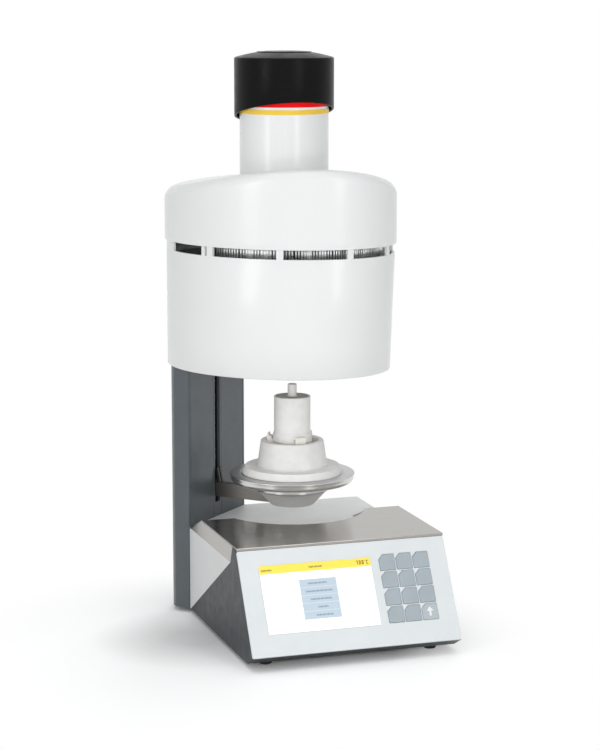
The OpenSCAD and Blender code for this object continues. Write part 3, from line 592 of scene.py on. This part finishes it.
def display():
    """Glass with the lit page: a yellow bar, a block of five rows and a temperature."""
    glass = prism("display_glass", rounded(DX0, DY0, DX1, DY1, 0.6), -10, -0.35, M["bezel"], ON_PANEL, 0.2)
    place(glass, "base", "touch_display", slot="display_glass")
    on_screen("screen_page", 0, 0, 1, 1, "white")
    on_screen("screen_head_bar", 0, 0, 1, 0.125, "yellow", 1)
    left, top, right, foot, row_height = 0.335, 0.245, 0.665, 0.83, 0.117
    on_screen("screen_block", left, top, right, foot, "pale", 1)
    rows = ((0.41, 0.585), (0.38, 0.62), (0.415, 0.6), (0.47, 0.56), (0.445, 0.595))
    for k, (start, stop) in enumerate(rows):
        row = top + row_height * k
        if k:
            on_screen(f"screen_line_{k}", left, row - 0.003, right, row + 0.003, "line", 2)
        letters(f"screen_row_{k}", start, row + 0.045, stop, row + 0.075, "blue")
    letters("screen_state", 0.015, 0.055, 0.115, 0.085, "brown")
    letters("screen_title", 0.44, 0.05, 0.565, 0.08, "brown")
    for k, digit in enumerate("700"):
        figure(f"screen_figure_{k}", digit, 0.868 + 0.026 * k)
    on_screen("screen_degree", 0.949, 0.03, 0.956, 0.045, "brown", 2)
    figure("screen_unit", "C", 0.962)


display()

# Steel tray: bent sheet with a round recess, side skirts, a front lip and slopes down to the deck

STEEL = M["tray_steel"]
SHEET, RECESS, TRAY_FLAT = 1.5, 100.0, 165.0


def tray_outline():
    """Level part of the tray, whose rear edge runs round the recess."""
    reach = math.sqrt(RECESS**2 - (AXIS.y - TRAY_FLAT) ** 2)
    start = math.degrees(math.atan2(TRAY_FLAT - AXIS.y, -reach))
    stop = math.degrees(math.atan2(TRAY_FLAT - AXIS.y, reach))
    bend = arc(AXIS.x, AXIS.y, RECESS, start % 360, stop % 360, 64)
    return [(-HALF, 0.0), (-HALF, TRAY_FLAT)] + bend + [(HALF, TRAY_FLAT), (HALF, 0.0)]


def tray_slope(name, sign, n=24):
    """Sloping end of the tray on one side of the recess."""
    bm = bmesh.new()
    rows = []
    for k in range(n + 1):
        y = TRAY_FLAT + (SPLIT_Y - TRAY_FLAT) * k / n
        z = TRAY - (TRAY - DECK) * k / n
        inner = AXIS.x + sign * math.sqrt(max(RECESS**2 - (y - AXIS.y) ** 2, 0.0))
        rows.append([bm.verts.new((x, y, z - d)) for x in (sign * HALF, inner) for d in (0.0, SHEET)])
    for a, b in zip(rows, rows[1:]):
        for i, j in ((0, 2), (3, 1), (2, 3), (1, 0)):
            bm.faces.new((a[i], a[j], b[j], b[i]))
    for r in (rows[0], rows[-1]):
        bm.faces.new((r[0], r[2], r[3], r[1]))
    return place(finish_mesh(name, bm, STEEL, TO_PART, 30), "base")


def recess_wall(steps=192, thick=1.2):
    """Upright wall round the recess, cut down along the slopes and open at the rear."""
    top = TRAY - 0.5
    bm = bmesh.new()
    last = None
    for k in range(steps + 1):
        t = math.radians(360.0 * k / steps)
        if AXIS.y + RECESS * math.sin(t) > SPLIT_Y:
            last = None
            continue
        along = (SPLIT_Y - AXIS.y - RECESS * math.sin(t)) / (SPLIT_Y - TRAY_FLAT)
        z = max(DECK + (top - DECK) * min(along, 1.0), DECK + 0.05)
        pair = []
        for r in (RECESS, RECESS + thick):
            x, y = AXIS.x + r * math.cos(t), AXIS.y + r * math.sin(t)
            pair += [bm.verts.new((x, y, DECK)), bm.verts.new((x, y, z))]
        if last:
            for i, j in ((0, 1), (1, 3), (3, 2), (2, 0)):
                bm.faces.new((last[i], last[j], pair[j], pair[i]))
        last = pair
    return place(finish_mesh("tray_recess_wall", bm, STEEL, TO_PART, 30), "base")


def tray():
    under = TRAY - SHEET
    top = prism("tray_top", tray_outline(), under, TRAY, STEEL, TO_PART, 0.7, segments=4)
    place(top, "base", "steel_tray", slot="tray_steel")
    skirt = [(0, under), (TRAY_FLAT, under), (SPLIT_Y, DECK), (SPLIT_TOP, DECK),
             (SPLIT_TOP - 9, under - 0.2), (0, under - 0.2)]
    for side, x in (("left", -HALF), ("right", HALF - SHEET)):
        place(prism(f"tray_skirt_{side}", skirt, x, x + SHEET, STEEL, TO_PART @ SIDE, 0.35), "base")
    lip = [(0, PANEL_TOP), (1.2, PANEL_TOP), (1.2, TRAY - 0.6), (0, TRAY - 0.6)]
    place(prism("tray_lip", lip, -HALF, HALF, STEEL, TO_PART @ SIDE, 0.3), "base")
    tray_slope("tray_ramp_left", -1)
    tray_slope("tray_ramp_right", 1)
    recess_wall()


tray()

# Column

COL_X, COL_HALF, COL_BACK, COL_WALL = 118.0, 80.5, 160.5, 4.0
COL_BEND, COL_TOP, SLOT_W, SLOT_Z = 344.0, 440.0, 14.0, 142.0
# Depth of the straight sides, size of the slanted corners and half width of the back
FOOT_SECTION = (22.9, 9.4, 51.0)
HEAD_SECTION = (15.3, 26.9, 47.6)


def column_half(section, inset=0.0):
    """Half of the section's outside from the front corner to the middle of the back."""
    side, corner, rear = section
    bend, level = COL_X + side - 0.4 * inset, COL_HALF - inset
    far = COL_X + side + corner - 0.82 * inset
    low = COL_HALF - corner - 0.59 * inset
    points = [(bend - 0.8, level), (bend + 0.6, level - 0.6), (far - 0.7, low + 0.7), (far + 0.2, low - 0.8)]
    return points + [(COL_BACK - 0.2 - inset, rear + 0.8 - 0.24 * inset), (COL_BACK - inset, rear - 1)]


def front_groove(y):
    return [(COL_X, y - 0.6), (COL_X + 0.5, y - 0.35), (COL_X + 0.5, y + 0.35), (COL_X, y + 0.6)]


def mirrored(points):
    return [(x, -y) for x, y in reversed(points)]


def column():
    """Outside of the extrusion: a closed foot, two walls beside the slot and the part in the head."""
    inner_y = SLOT_W / 2
    corner = arc(COL_X + 2.5, COL_HALF - 2.5, 2.5, 180, 90, 6)
    front = front_groove(inner_y + 4) + front_groove(74.5) + corner
    outside = front + column_half(FOOT_SECTION)
    coat = M["column_coat"]
    foot = prism("column_foot_part", outside + mirrored(outside), FLOOR, SLOT_Z, coat, ON_AXIS, 0.0)
    place(foot, "base", "column_profile", slot="column_coat")
    for level, section, low, high in (("wall", FOOT_SECTION, SLOT_Z, COL_BEND),
                                      ("head", HEAD_SECTION, COL_BEND, COL_TOP)):
        inside = [(COL_X + COL_WALL, COL_HALF - COL_WALL), (COL_X + COL_WALL, inner_y)]
        inside = column_half(section, COL_WALL)[::-1] + inside
        back = [(COL_BACK, 0), (COL_BACK - COL_WALL, 0)]
        wall = [(COL_X, inner_y)] + front + column_half(section) + back + inside
        place(prism(f"column_{level}_left", wall, low, high, coat, ON_AXIS, 0.0), "base")
        place(prism(f"column_{level}_right", mirrored(wall), low, high, coat, ON_AXIS, 0.0), "base")


column()

# Lift arm and table

ARM_Z, ARM_TOP, ARM_HALF, ARM_START, ARM_END = 150.5, 170.5, 5.5, 24, 133.5
DISC_R, DISC_Z, LEDGE_R, BOWL_Z = 86.0, 196.0, 50.6, 152


def arm():
    """Flat bar with two black lips that stand on it in front of the column's slot."""
    low, high = (ARM_START, -ARM_HALF, ARM_Z), (ARM_END, ARM_HALF, ARM_TOP)
    # The bar's dark tone is painted shade; its grain is the metal's own.
    place(box("arm_bar", low, high, M["arm_brushed"], ON_AXIS, 0.7), "lift", "lift_arm", slot="arm_brushed")
    gap, tall = 1.2, ARM_TOP + 21
    side = [(111, ARM_TOP), (117, ARM_TOP), (117, tall), (115.5, tall)]
    for name, y0, y1 in (("near", gap, ARM_HALF), ("far", -ARM_HALF, -gap)):
        lip = prism(f"arm_lip_{name}", side, y0, y1, M["black_plastic"], ON_AXIS @ UPRIGHT, 0.5)
        place(lip, "lift", *(["arm_gusset"] if name == "near" else []), slot="black_plastic")


def table():
    """Turned bowl with a ledge and a wide disc; the bowl's foot and the disc's face are duller."""
    bowl = [(0, BOWL_Z), (29, BOWL_Z)] + arc(29.4, BOWL_Z + 1.5, 1.5, -90, -30, 4)
    bowl += [(LEDGE_R - 3, DISC_Z - 25)]
    bowl += arc(LEDGE_R - 3.2, DISC_Z - 21.6, 3.2, -75, 0, 6)
    bowl += arc(LEDGE_R - 1.6, DISC_Z - 18, 1.6, 0, 40, 3)
    bowl += [(LEDGE_R - 0.2, DISC_Z - 15.8), (LEDGE_R + 1.8, DISC_Z - 13.8), (66, DISC_Z - 9.6)]
    bowl += [(DISC_R - 16, DISC_Z - 8.9)] + arc(DISC_R - 7.5, DISC_Z - 5.5, 6.5, -70, 0, 8)
    bowl += [(DISC_R - 0.8, DISC_Z - 3.8)] + arc(DISC_R - 1.1, DISC_Z - 1.1, 1.1, -20, 90, 6)
    bowl += [(71.5, DISC_Z), (70.8, DISC_Z - 0.6), (70, DISC_Z), (0, DISC_Z)]
    obj = revolve("table_turned", bowl, [M["alu_turned"], M["alu_matt"], M["alu_disc"]], steps=220)
    for face in obj.data.polygons:
        middle = ON_AXIS.inverted() @ face.center
        if middle.z < DISC_Z - 25 and math.hypot(middle.x, middle.y) < LEDGE_R - 1:
            face.material_index = 1
        elif middle.z > DISC_Z - 0.7:
            face.material_index = 2
    place(obj, "lift", "table_bowl", slot="alu_turned")


arm()
table()

# Stack on the table: tier, stand, carrier with three lugs, investment cylinder and pin

TIER_TOP, STAND_FACE, SEAT_Z, CARRIER_TOP = 206, 235, 240, 243
CYLINDER_TOP, BORE_R, BORE_Z = 303, 6.25, 262
PIN_R, PIN_Z, PIN_TOP = 6.2, 275.6, 319.6


def tier():
    profile = [(0, DISC_Z), (68.0, DISC_Z)] + arc(67.9, DISC_Z + 0.6, 0.6, -90, 0, 3)
    profile += [(68.2, TIER_TOP - 6.8), (65.7, TIER_TOP - 1)] + arc(64.6, TIER_TOP - 1.1, 1.1, 20, 90, 4)
    obj = revolve("tier_disc", profile + [(0, TIER_TOP)], M["ceramic_white"], steps=200)
    place(obj, "lift", "insulating_base", slot="ceramic_white")


def stand():
    profile = [(0, TIER_TOP), (49.6, TIER_TOP)] + arc(49.3, TIER_TOP + 0.5, 0.5, -60, 60, 3)
    profile += [(48.1, TIER_TOP + 1.8), (43.6, 238.8)] + arc(41.0, 239.4, 2.6, 10, 90, 7)
    profile += arc(37.3, 240.7, 1.3, 90, 180, 5) + [(36, STAND_FACE), (0, STAND_FACE)]
    obj = revolve("stand_body", profile, M["ceramic_stand"], steps=200)
    place(obj, "lift", "muffle_stand", slot="ceramic_white")


def carrier():
    """Round plate and three hooked lugs that hold the cylinder's foot."""
    cream = M["ceramic_cream"]
    profile = [(0, SEAT_Z), (26.7, SEAT_Z)] + arc(26.8, SEAT_Z + 0.5, 0.5, -90, 0, 3)
    profile += [(27.3, CARRIER_TOP - 0.4), (26.9, CARRIER_TOP), (0, CARRIER_TOP)]
    obj = revolve("carrier_plate", profile, cream, steps=160)
    place(obj, "lift", "stand_ring", slot="ceramic_cream")
    half, first = 7.5, 17
    side = [(21, STAND_FACE), (34.5, STAND_FACE), (34.5, 247), (34, 250), (33.1, 250.6), (32, 249.4),
            (31.4, 246.8), (27.8, 246.4), (27.8, CARRIER_TOP), (21, CARRIER_TOP)]
    for k in range(3):
        turn = ON_AXIS @ Matrix.Rotation(math.radians(first + 120 * k), 4, "Z")
        place(prism(f"carrier_lug_{k}", side, -half, half, cream, turn @ UPRIGHT, 0.7), "lift")


def investment():
    """Cast cylinder with a foot, a worn top face and the bore for the pin."""
    face = CYLINDER_TOP - 0.3
    profile = [(0, CARRIER_TOP), (26.8, CARRIER_TOP), (26.5, 250.5), (25.6, 252.4), (25, 253.2)]
    profile += [(25, CYLINDER_TOP - 1.2)] + arc(23.8, CYLINDER_TOP - 1.2, 1.2, 0, 90, 5)
    profile += [(22.6, CYLINDER_TOP), (22.2, face), (8.4, face), (8.0, face + 0.2)]
    profile += [(BORE_R, face - 0.2), (BORE_R, BORE_Z)]
    obj = revolve("investment_body", profile, M["investment_white"], steps=160)
    place(obj, "lift", "investment_cylinder", slot="investment_white")
    rim = [(22.3, face + 0.02), (22.2, face + 0.15), (8.5, face + 0.15), (8.3, face + 0.02)]
    place(revolve("investment_face", rim, M["investment_rim"], steps=160), "lift")


def press_pin():
    profile = [(0, PIN_Z), (PIN_R - 0.4, PIN_Z), (PIN_R, PIN_Z + 0.4), (PIN_R, PIN_TOP - 1)]
    profile += arc(PIN_R - 1.0, PIN_TOP - 1, 1.0, 0, 90, 5) + [(0, PIN_TOP)]
    place(revolve("pin_body", profile, M["pin_white"], steps=64), "pin", "press_pin", slot="pin_white")


tier()
stand()
carrier()
investment()
press_pin()

# Head: lower shell, vents with a slotted shield behind them, and the cover

HEAD_Z, VENT_Z, VENT_TOP = 345.0, 504.5, 517.0
# Ovals of the shell at its rim and at the vents: centre, half length and half width
RIM = (22.0, 159.0, 126.0)
VENT = (19.0, 163.0, 123.5)
SHELL = 4.0
# How far the cover stands out from the vents, the height of its crest and the rounding of its edge
COVER_OUT, CREST_Z, EDGE = 2.3, 623.4, 16.0


def head_ring(z, inset):
    """Oval of the lower shell, which changes evenly from the rim to the vents."""
    k = (z - HEAD_Z) / (VENT_Z - HEAD_Z)
    centre, long, wide = (a + (b - a) * k for a, b in zip(RIM, VENT))
    return z, centre, long - inset, wide - inset, 0.0


def vent_oval(inset, t):
    return oval(VENT[0], VENT[1] - inset, VENT[2] - inset, t)


def lower_shell():
    foot = ((0, 1.4), (0.3, 0.7), (1.2, 0.0), (40, 0.0), (90, 0.0))
    top = ((0.9, 0.0), (0.2, 0.35), (0, 0.9), (0, SHELL - 0.4), (0.5, SHELL))
    inside = ((80, SHELL), (1, SHELL), (0, SHELL - 0.8))
    rings = [head_ring(HEAD_Z + up, inset) for up, inset in foot]
    rings += [head_ring(VENT_Z - down, inset) for down, inset in top]
    rings += [head_ring(HEAD_Z + up, inset) for up, inset in inside]
    obj = loft("head_skin", rings, M["shell_white"], close=True, smooth=40)
    place(obj, "base", "head_shell", slot="shell_white")


def webs():
    """White bridges that carry the cover between the vent openings, from and to these angles."""
    spans = [(-43, 43), (69.5, 71.6), (109.8, 113.2), (146.5, 150), (-71.6, -69.5), (-113.2, -109.8)]
    spans += [(-150, -146.5), (178.2, 181.8), (72.9, 76.5), (-76.5, -72.9)]
    section = ((0.15, VENT_Z - 1.5), (0.15, VENT_TOP), (SHELL, VENT_TOP), (SHELL, VENT_Z - 1.5))
    for k, (start, stop) in enumerate(spans):
        n = max(3, int((stop - start) / 1.5))
        bm = bmesh.new()
        rows = []
        for i in range(n + 1):
            t = math.radians(start + (stop - start) * i / n)
            rows.append([bm.verts.new((*vent_oval(inset, t), z)) for inset, z in section])
        for a, b in zip(rows, rows[1:]):
            skin(bm, a, b)
        bm.faces.new(rows[0])
        bm.faces.new(rows[-1][::-1])
        place(finish_mesh(f"head_web_{k}", bm, M["shell_white"], ON_AXIS, 30), "base")


def wall_ring(z, inset):
    """Oval of the cover's wall, level at its foot and falling with the top above."""
    share = (z - VENT_TOP) / (CREST_Z - EDGE - VENT_TOP)
    return z, VENT[0], VENT[1] + COVER_OUT - inset, VENT[2] + COVER_OUT - inset, share


def top_rings():
    """Rounded edge of the cover and its top, down to a small oval that the neck hides."""
    long, wide = VENT[1] + COVER_OUT, VENT[2] + COVER_OUT
    out = []
    for i in range(15):
        t = math.radians(90 * i / 14)
        inset = EDGE * (1 - math.cos(t))
        out.append((CREST_Z - EDGE + EDGE * math.sin(t), VENT[0], long - inset, wide - inset, 1.0))
    for i in range(1, 9):
        inset = EDGE + (wide - EDGE - 5) * i / 8
        out.append((CREST_Z, VENT[0], long - inset, wide - inset, 1.0))
    return out


def cover():
    lip = [wall_ring(VENT_TOP + up, inset) for up, inset in ((0, SHELL), (0, 0.9), (0.25, 0.3), (1.0, 0.0))]
    wall = [wall_ring(VENT_TOP + 8 + 16 * i, 0.0) for i in range(5)]
    obj = loft("cover_skin", lip + wall + top_rings(), M["shell_white"], smooth=30)
    place(obj, "base", "head_cover", slot="shell_white")


def shield(n=900):
    """Slotted strip behind the vents: upright bars of uneven width between two rails."""
    foot, slot_foot, slot_top, top = 494.5, 499.5, 523, 528.0
    inset, open_from, open_to = 16, 74, 286
    bm = bmesh.new()
    for i in range(n):
        t = 360.0 * i / n
        if t < open_from or t > open_to:
            continue
        bar = (i * 5 + i // 4 + i // 11) % 7 < 4
        for low, high in [(foot, top)] if bar else [(foot, slot_foot), (slot_top, top)]:
            quad = []
            for turn, z in ((t, low), (t + 360.0 / n, low), (t + 360.0 / n, high), (t, high)):
                quad.append(bm.verts.new((*vent_oval(inset, math.radians(turn)), z)))
            bm.faces.new(quad)
    bmesh.ops.remove_doubles(bm, verts=bm.verts, dist=0.001)
    obj = finish_mesh("shield_strip", bm, M["shield_strip"], ON_AXIS, 30)
    sheet = obj.modifiers.new("sheet", "SOLIDIFY")
    sheet.thickness = 0.8 * MM
    place(obj, "base", "heat_shield", slot="zinc_sheet")


lower_shell()
webs()
cover()
shield()

# Neck and cap

NECK_BACK, NECK_R, NECK_WALL, NECK_TOP = 12, 60, 3, 716
CAP_R, CAP_WALL, CAP_DISC_Z, CAP_TOP = 67.2, 3, 769.3, 772
# Middle height of the cap's slanted lower rim and the tangent of its slant
CAP_RIM_Z, CAP_SLANT = 689.5, math.tan(math.radians(13.6))
ON_NECK = ON_AXIS @ Matrix.Translation((NECK_BACK, 0, 0))


def neck():
    """White tube with a yellow ring and a red band."""
    foot, half_way, inner = 565.4, 640, NECK_R - NECK_WALL
    profile = [(inner, foot), (NECK_R, foot), (NECK_R, half_way), (NECK_R, NECK_TOP), (inner, NECK_TOP)]
    tube = revolve("neck_skin", profile, M["shell_white"], ON_NECK, 200, close=True)
    place(tube, "base", "neck_tube", slot="shell_white")
    out = NECK_R + 0.25
    for name, low, high in (("yellow", 689, 695.2), ("red", 698.6, NECK_TOP)):
        band = [(NECK_R, low), (out, low)] + arc(out, low + 0.15, 0.15, -90, 0, 2)
        band += [(out + 0.15, high - 0.15), (out, high), (NECK_R, high)]
        obj = revolve(f"band_{name}", band, M[f"ring_{name}"], ON_NECK, 200)
        place(obj, "base", *(["signal_rings"] if name == "yellow" else []), slot="signal_print")


def cap(steps=220):
    """Hollow cap whose lower rim is cut at a slant, higher toward the front, and its top disc."""
    inner = CAP_R - CAP_WALL
    # Levels of the slanted rim are heights over it, the others heights over the ground
    rim = [(inner, 0.9), (inner + 0.5, 0.25), (inner + 1.5, 0.0)]
    rim += [(CAP_R - 0.9, 0.0), (CAP_R - 0.3, 0.3), (CAP_R, 1.0)]
    levels = [(inner, NECK_TOP, False)] + [(r, z, True) for r, z in rim]
    levels += [(CAP_R, 735.0, False), (CAP_R, 761.5, False)]
    levels += [(r, z, False) for r, z in arc(CAP_R - 2.6, 761.2, 2.6, 12, 78, 6)]
    for i in range(1, 9):
        r = 64.4 - (64.4 - 37.6) * i / 8
        levels.append((r, 763.7 + 7.9 * (1 - (r / 65.5) ** 2) / (1 - (26 / 65.5) ** 2), False))
    levels += [(37.4, CAP_DISC_Z, False), (3.0, CAP_DISC_Z, False)]
    bm = bmesh.new()
    loops = []
    for r, z, slanted in levels:
        loop = []
        for i in range(steps):
            t = 2 * math.pi * i / steps
            height = CAP_RIM_Z - CAP_SLANT * r * math.sin(t + COLUMN_TURN) + z if slanted else z
            loop.append(bm.verts.new((r * math.cos(t), r * math.sin(t), height)))
        loops.append(loop)
    for a, b in zip(loops, loops[1:]):
        skin(bm, a, b)
    bm.faces.new(loops[-1])
    bm.faces.new(loops[0][::-1])
    place(finish_mesh("cap_skin", bm, M["cap_black"], ON_NECK, 32), "base", "cap", slot="cap_black")
    edge = CAP_DISC_Z + 1
    disc = [(0, CAP_DISC_Z), (36.9, CAP_DISC_Z), (36.9, edge)] + arc(36.3, edge, 0.6, 0, 80, 3)
    disc += [(24, CAP_TOP - 0.4), (12, CAP_TOP - 0.05), (0, CAP_TOP)]
    place(revolve("cap_disc", disc, M["cap_disc"], ON_NECK, 160), "base")


neck()
cap()

# Pieces kept from the solids

KEPT = {
    "keypad_board": "board_green", "main_board": "board_green", "power_supply": "zinc_sheet",
    "foot_pads": "foot_rubber", "mains_inlet": "black_plastic", "power_switch": "black_plastic",
    "switch_rocker": "switch_red", "air_port": "steel_ground", "column_bolts": "steel_ground",
    "guide_rail": "steel_ground", "guide_carriage": "steel_ground", "lead_screw": "steel_ground",
    "screw_bearings": "alu_turned", "lift_motor": "black_plastic", "slot_seal": "black_plastic",
    "head_base_plate": "zinc_sheet", "head_bracket": "steel_ground", "chamber_seal": "seal_fibre",
    "chamber_can": "zinc_sheet", "chamber_insulation": "ceramic_white", "heating_muffle": "ceramic_cream",
    "heating_element": "element_wire", "chamber_lid": "ceramic_white", "head_deck": "zinc_sheet",
    "bridge_posts": "steel_ground", "head_bridge": "zinc_sheet", "press_cylinder": "alu_turned",
    "press_rod": "steel_ground",
}
for kept, material in KEPT.items():
    dress(kept, material)

# Floor, light and camera


def for_camera(tree, seen):
    """Shows another shader to camera, glossy and transmission rays; diffuse light stays as it is."""
    out = next(n for n in tree.nodes if n.type in {"OUTPUT_MATERIAL", "OUTPUT_WORLD"})
    plain = out.inputs["Surface"].links[0].from_socket
    path = tree.nodes.new("ShaderNodeLightPath")
    share = path.outputs["Is Camera Ray"]
    for ray in ("Is Glossy Ray", "Is Transmission Ray"):
        either = tree.nodes.new("ShaderNodeMath")
        either.operation = "MAXIMUM"
        tree.links.new(share, either.inputs[0])
        tree.links.new(path.outputs[ray], either.inputs[1])
        share = either.outputs[0]
    mix = tree.nodes.new("ShaderNodeMixShader")
    tree.links.new(share, mix.inputs["Fac"])
    tree.links.new(plain, mix.inputs[1])
    tree.links.new(seen, mix.inputs[2])
    tree.links.new(mix.outputs[0], out.inputs["Surface"])


# Ground, in metres: its half size, its gain in the painted shadow by the base's left side and farther out,
# where that painted shadow begins and ends, and where the ground begins and ends to turn into plain white
FLOOR_REACH = 28
PAINTED_SHADOW_GAIN, FLOOR_GAIN = 0.85, 1.25
PAINTED_SHADOW_MIDDLE, PAINTED_SHADOW_FROM, PAINTED_SHADOW_TO = (-0.16, -0.04), 0.03, 0.14
WHITE_MIDDLE, WHITE_FROM, WHITE_TO = (-0.12, -0.10), 0.21, 0.41


def away_from(s, middle):
    """Distance from a point on the ground."""
    length = s.add("ShaderNodeVectorMath", operation="LENGTH")
    s.link(s.mapped(move=(-middle[0], -middle[1], 0)), length.inputs[0])
    return length.outputs["Value"]


def floor():
    """Pale ground that keeps the shadow near the furnace, has a painted shadow by the base's left side and
    turns plain white farther out.
    """
    bm = bmesh.new()
    bmesh.ops.create_grid(bm, x_segments=8, y_segments=8, size=FLOOR_REACH)
    mesh = bpy.data.meshes.new("floor")
    bm.to_mesh(mesh)
    bm.free()
    obj = bpy.data.objects.new("floor", mesh)
    bpy.context.collection.objects.link(obj)
    s = Shader("floor_white", 0.9)
    s.colour(s.ramp(s.noise(s.place, 3, 2), [(0.3, (0.89, 0.89, 0.89)), (0.7, (0.91, 0.91, 0.91))]))
    mesh.materials.append(s.mat)
    bright = s.add("ShaderNodeBsdfDiffuse")
    gain = s.add("ShaderNodeCombineColor")
    # Painted shadow: the ground's gain falls near the base's left side, by the column's foot.
    from_painted_shadow = away_from(s, PAINTED_SHADOW_MIDDLE)
    for channel in ("Red", "Green", "Blue"):
        s.link(s.spread(from_painted_shadow, PAINTED_SHADOW_GAIN, FLOOR_GAIN, PAINTED_SHADOW_FROM, PAINTED_SHADOW_TO), gain.inputs[channel])
    s.link(gain.outputs[0], bright.inputs["Color"])
    white = s.add("ShaderNodeEmission")
    blend = s.add("ShaderNodeMixShader")
    from_middle = away_from(s, WHITE_MIDDLE)
    s.link(s.spread(from_middle, 0.0, 1.0, WHITE_FROM, WHITE_TO), blend.inputs["Fac"])
    s.link(bright.outputs[0], blend.inputs[1])
    s.link(white.outputs[0], blend.inputs[2])
    for_camera(s.tree, blend.outputs[0])


def area(name, place_at, target, wide, high, mirrored, power):
    """Lamp with a rectangular face, sizes in metres; mirrored says whether glossy surfaces show it."""
    data = bpy.data.lights.new(name, "AREA")
    data.shape = "RECTANGLE"
    data.size, data.size_y = wide, high
    data.energy = power
    obj = bpy.data.objects.new(name, data)
    obj.location = place_at
    obj.rotation_mode = "QUATERNION"
    obj.rotation_quaternion = (Vector(target) - Vector(place_at)).to_track_quat("-Z", "Y")
    obj.visible_glossy = mirrored
    bpy.context.collection.objects.link(obj)


floor()
area("light_left", (-2.55, -1.35, 1.2), (0, 0, 0.4), 0.7, 2.0, True, 15)
area("light_right", (0.81, -2.82, 1.2), (0, 0, 0.4), 0.6, 2.0, True, 12)
area("light_front", (-0.78, -2.65, 0.9), (0, 0, 0.4), 1.3, 0.5, False, 14)
area("light_low", (-0.7, -2.4, 0.15), (0, 0, 0.3), 2.4, 0.3, False, 8)
area("light_top", (-0.2, -0.2, 2.7), (0, 0.05, 0.3), 2.2, 2.2, True, 13)
area("light_back", (1.4, 2.2, 1.5), (0, 0, 0.4), 1.4, 1.4, False, 18)
world = bpy.data.worlds.new("studio")
bpy.context.scene.world = world
world.use_nodes = True
back = world.node_tree.nodes["Background"]
back.inputs["Color"].default_value = (0.94, 0.95, 0.96, 1)
back.inputs["Strength"].default_value = 0.44
backdrop = world.node_tree.nodes.new("ShaderNodeBackground")
backdrop.inputs["Color"].default_value = (1, 1, 1, 1)
for_camera(world.node_tree, backdrop.outputs[0])

# The photo's view: focal length and height of the picture in pixels on Blender's 36 mm sensor
FOCAL, PICTURE_HIGH, SENSOR = 2215, 750, 36
camera = bpy.data.cameras.new("camera")
camera.lens = FOCAL * SENSOR / PICTURE_HIGH
camera.clip_end = 60
eye = bpy.data.objects.new("camera", camera)
eye.location = (-0.9108, -2.7950, 0.842)
eye.rotation_mode = "QUATERNION"
eye.rotation_quaternion = Vector((0.30577, 0.93712, -0.16797)).to_track_quat("-Z", "Y")
bpy.context.collection.objects.link(eye)
bpy.context.scene.camera = eye
bpy.context.scene.view_settings.view_transform = "Standard"
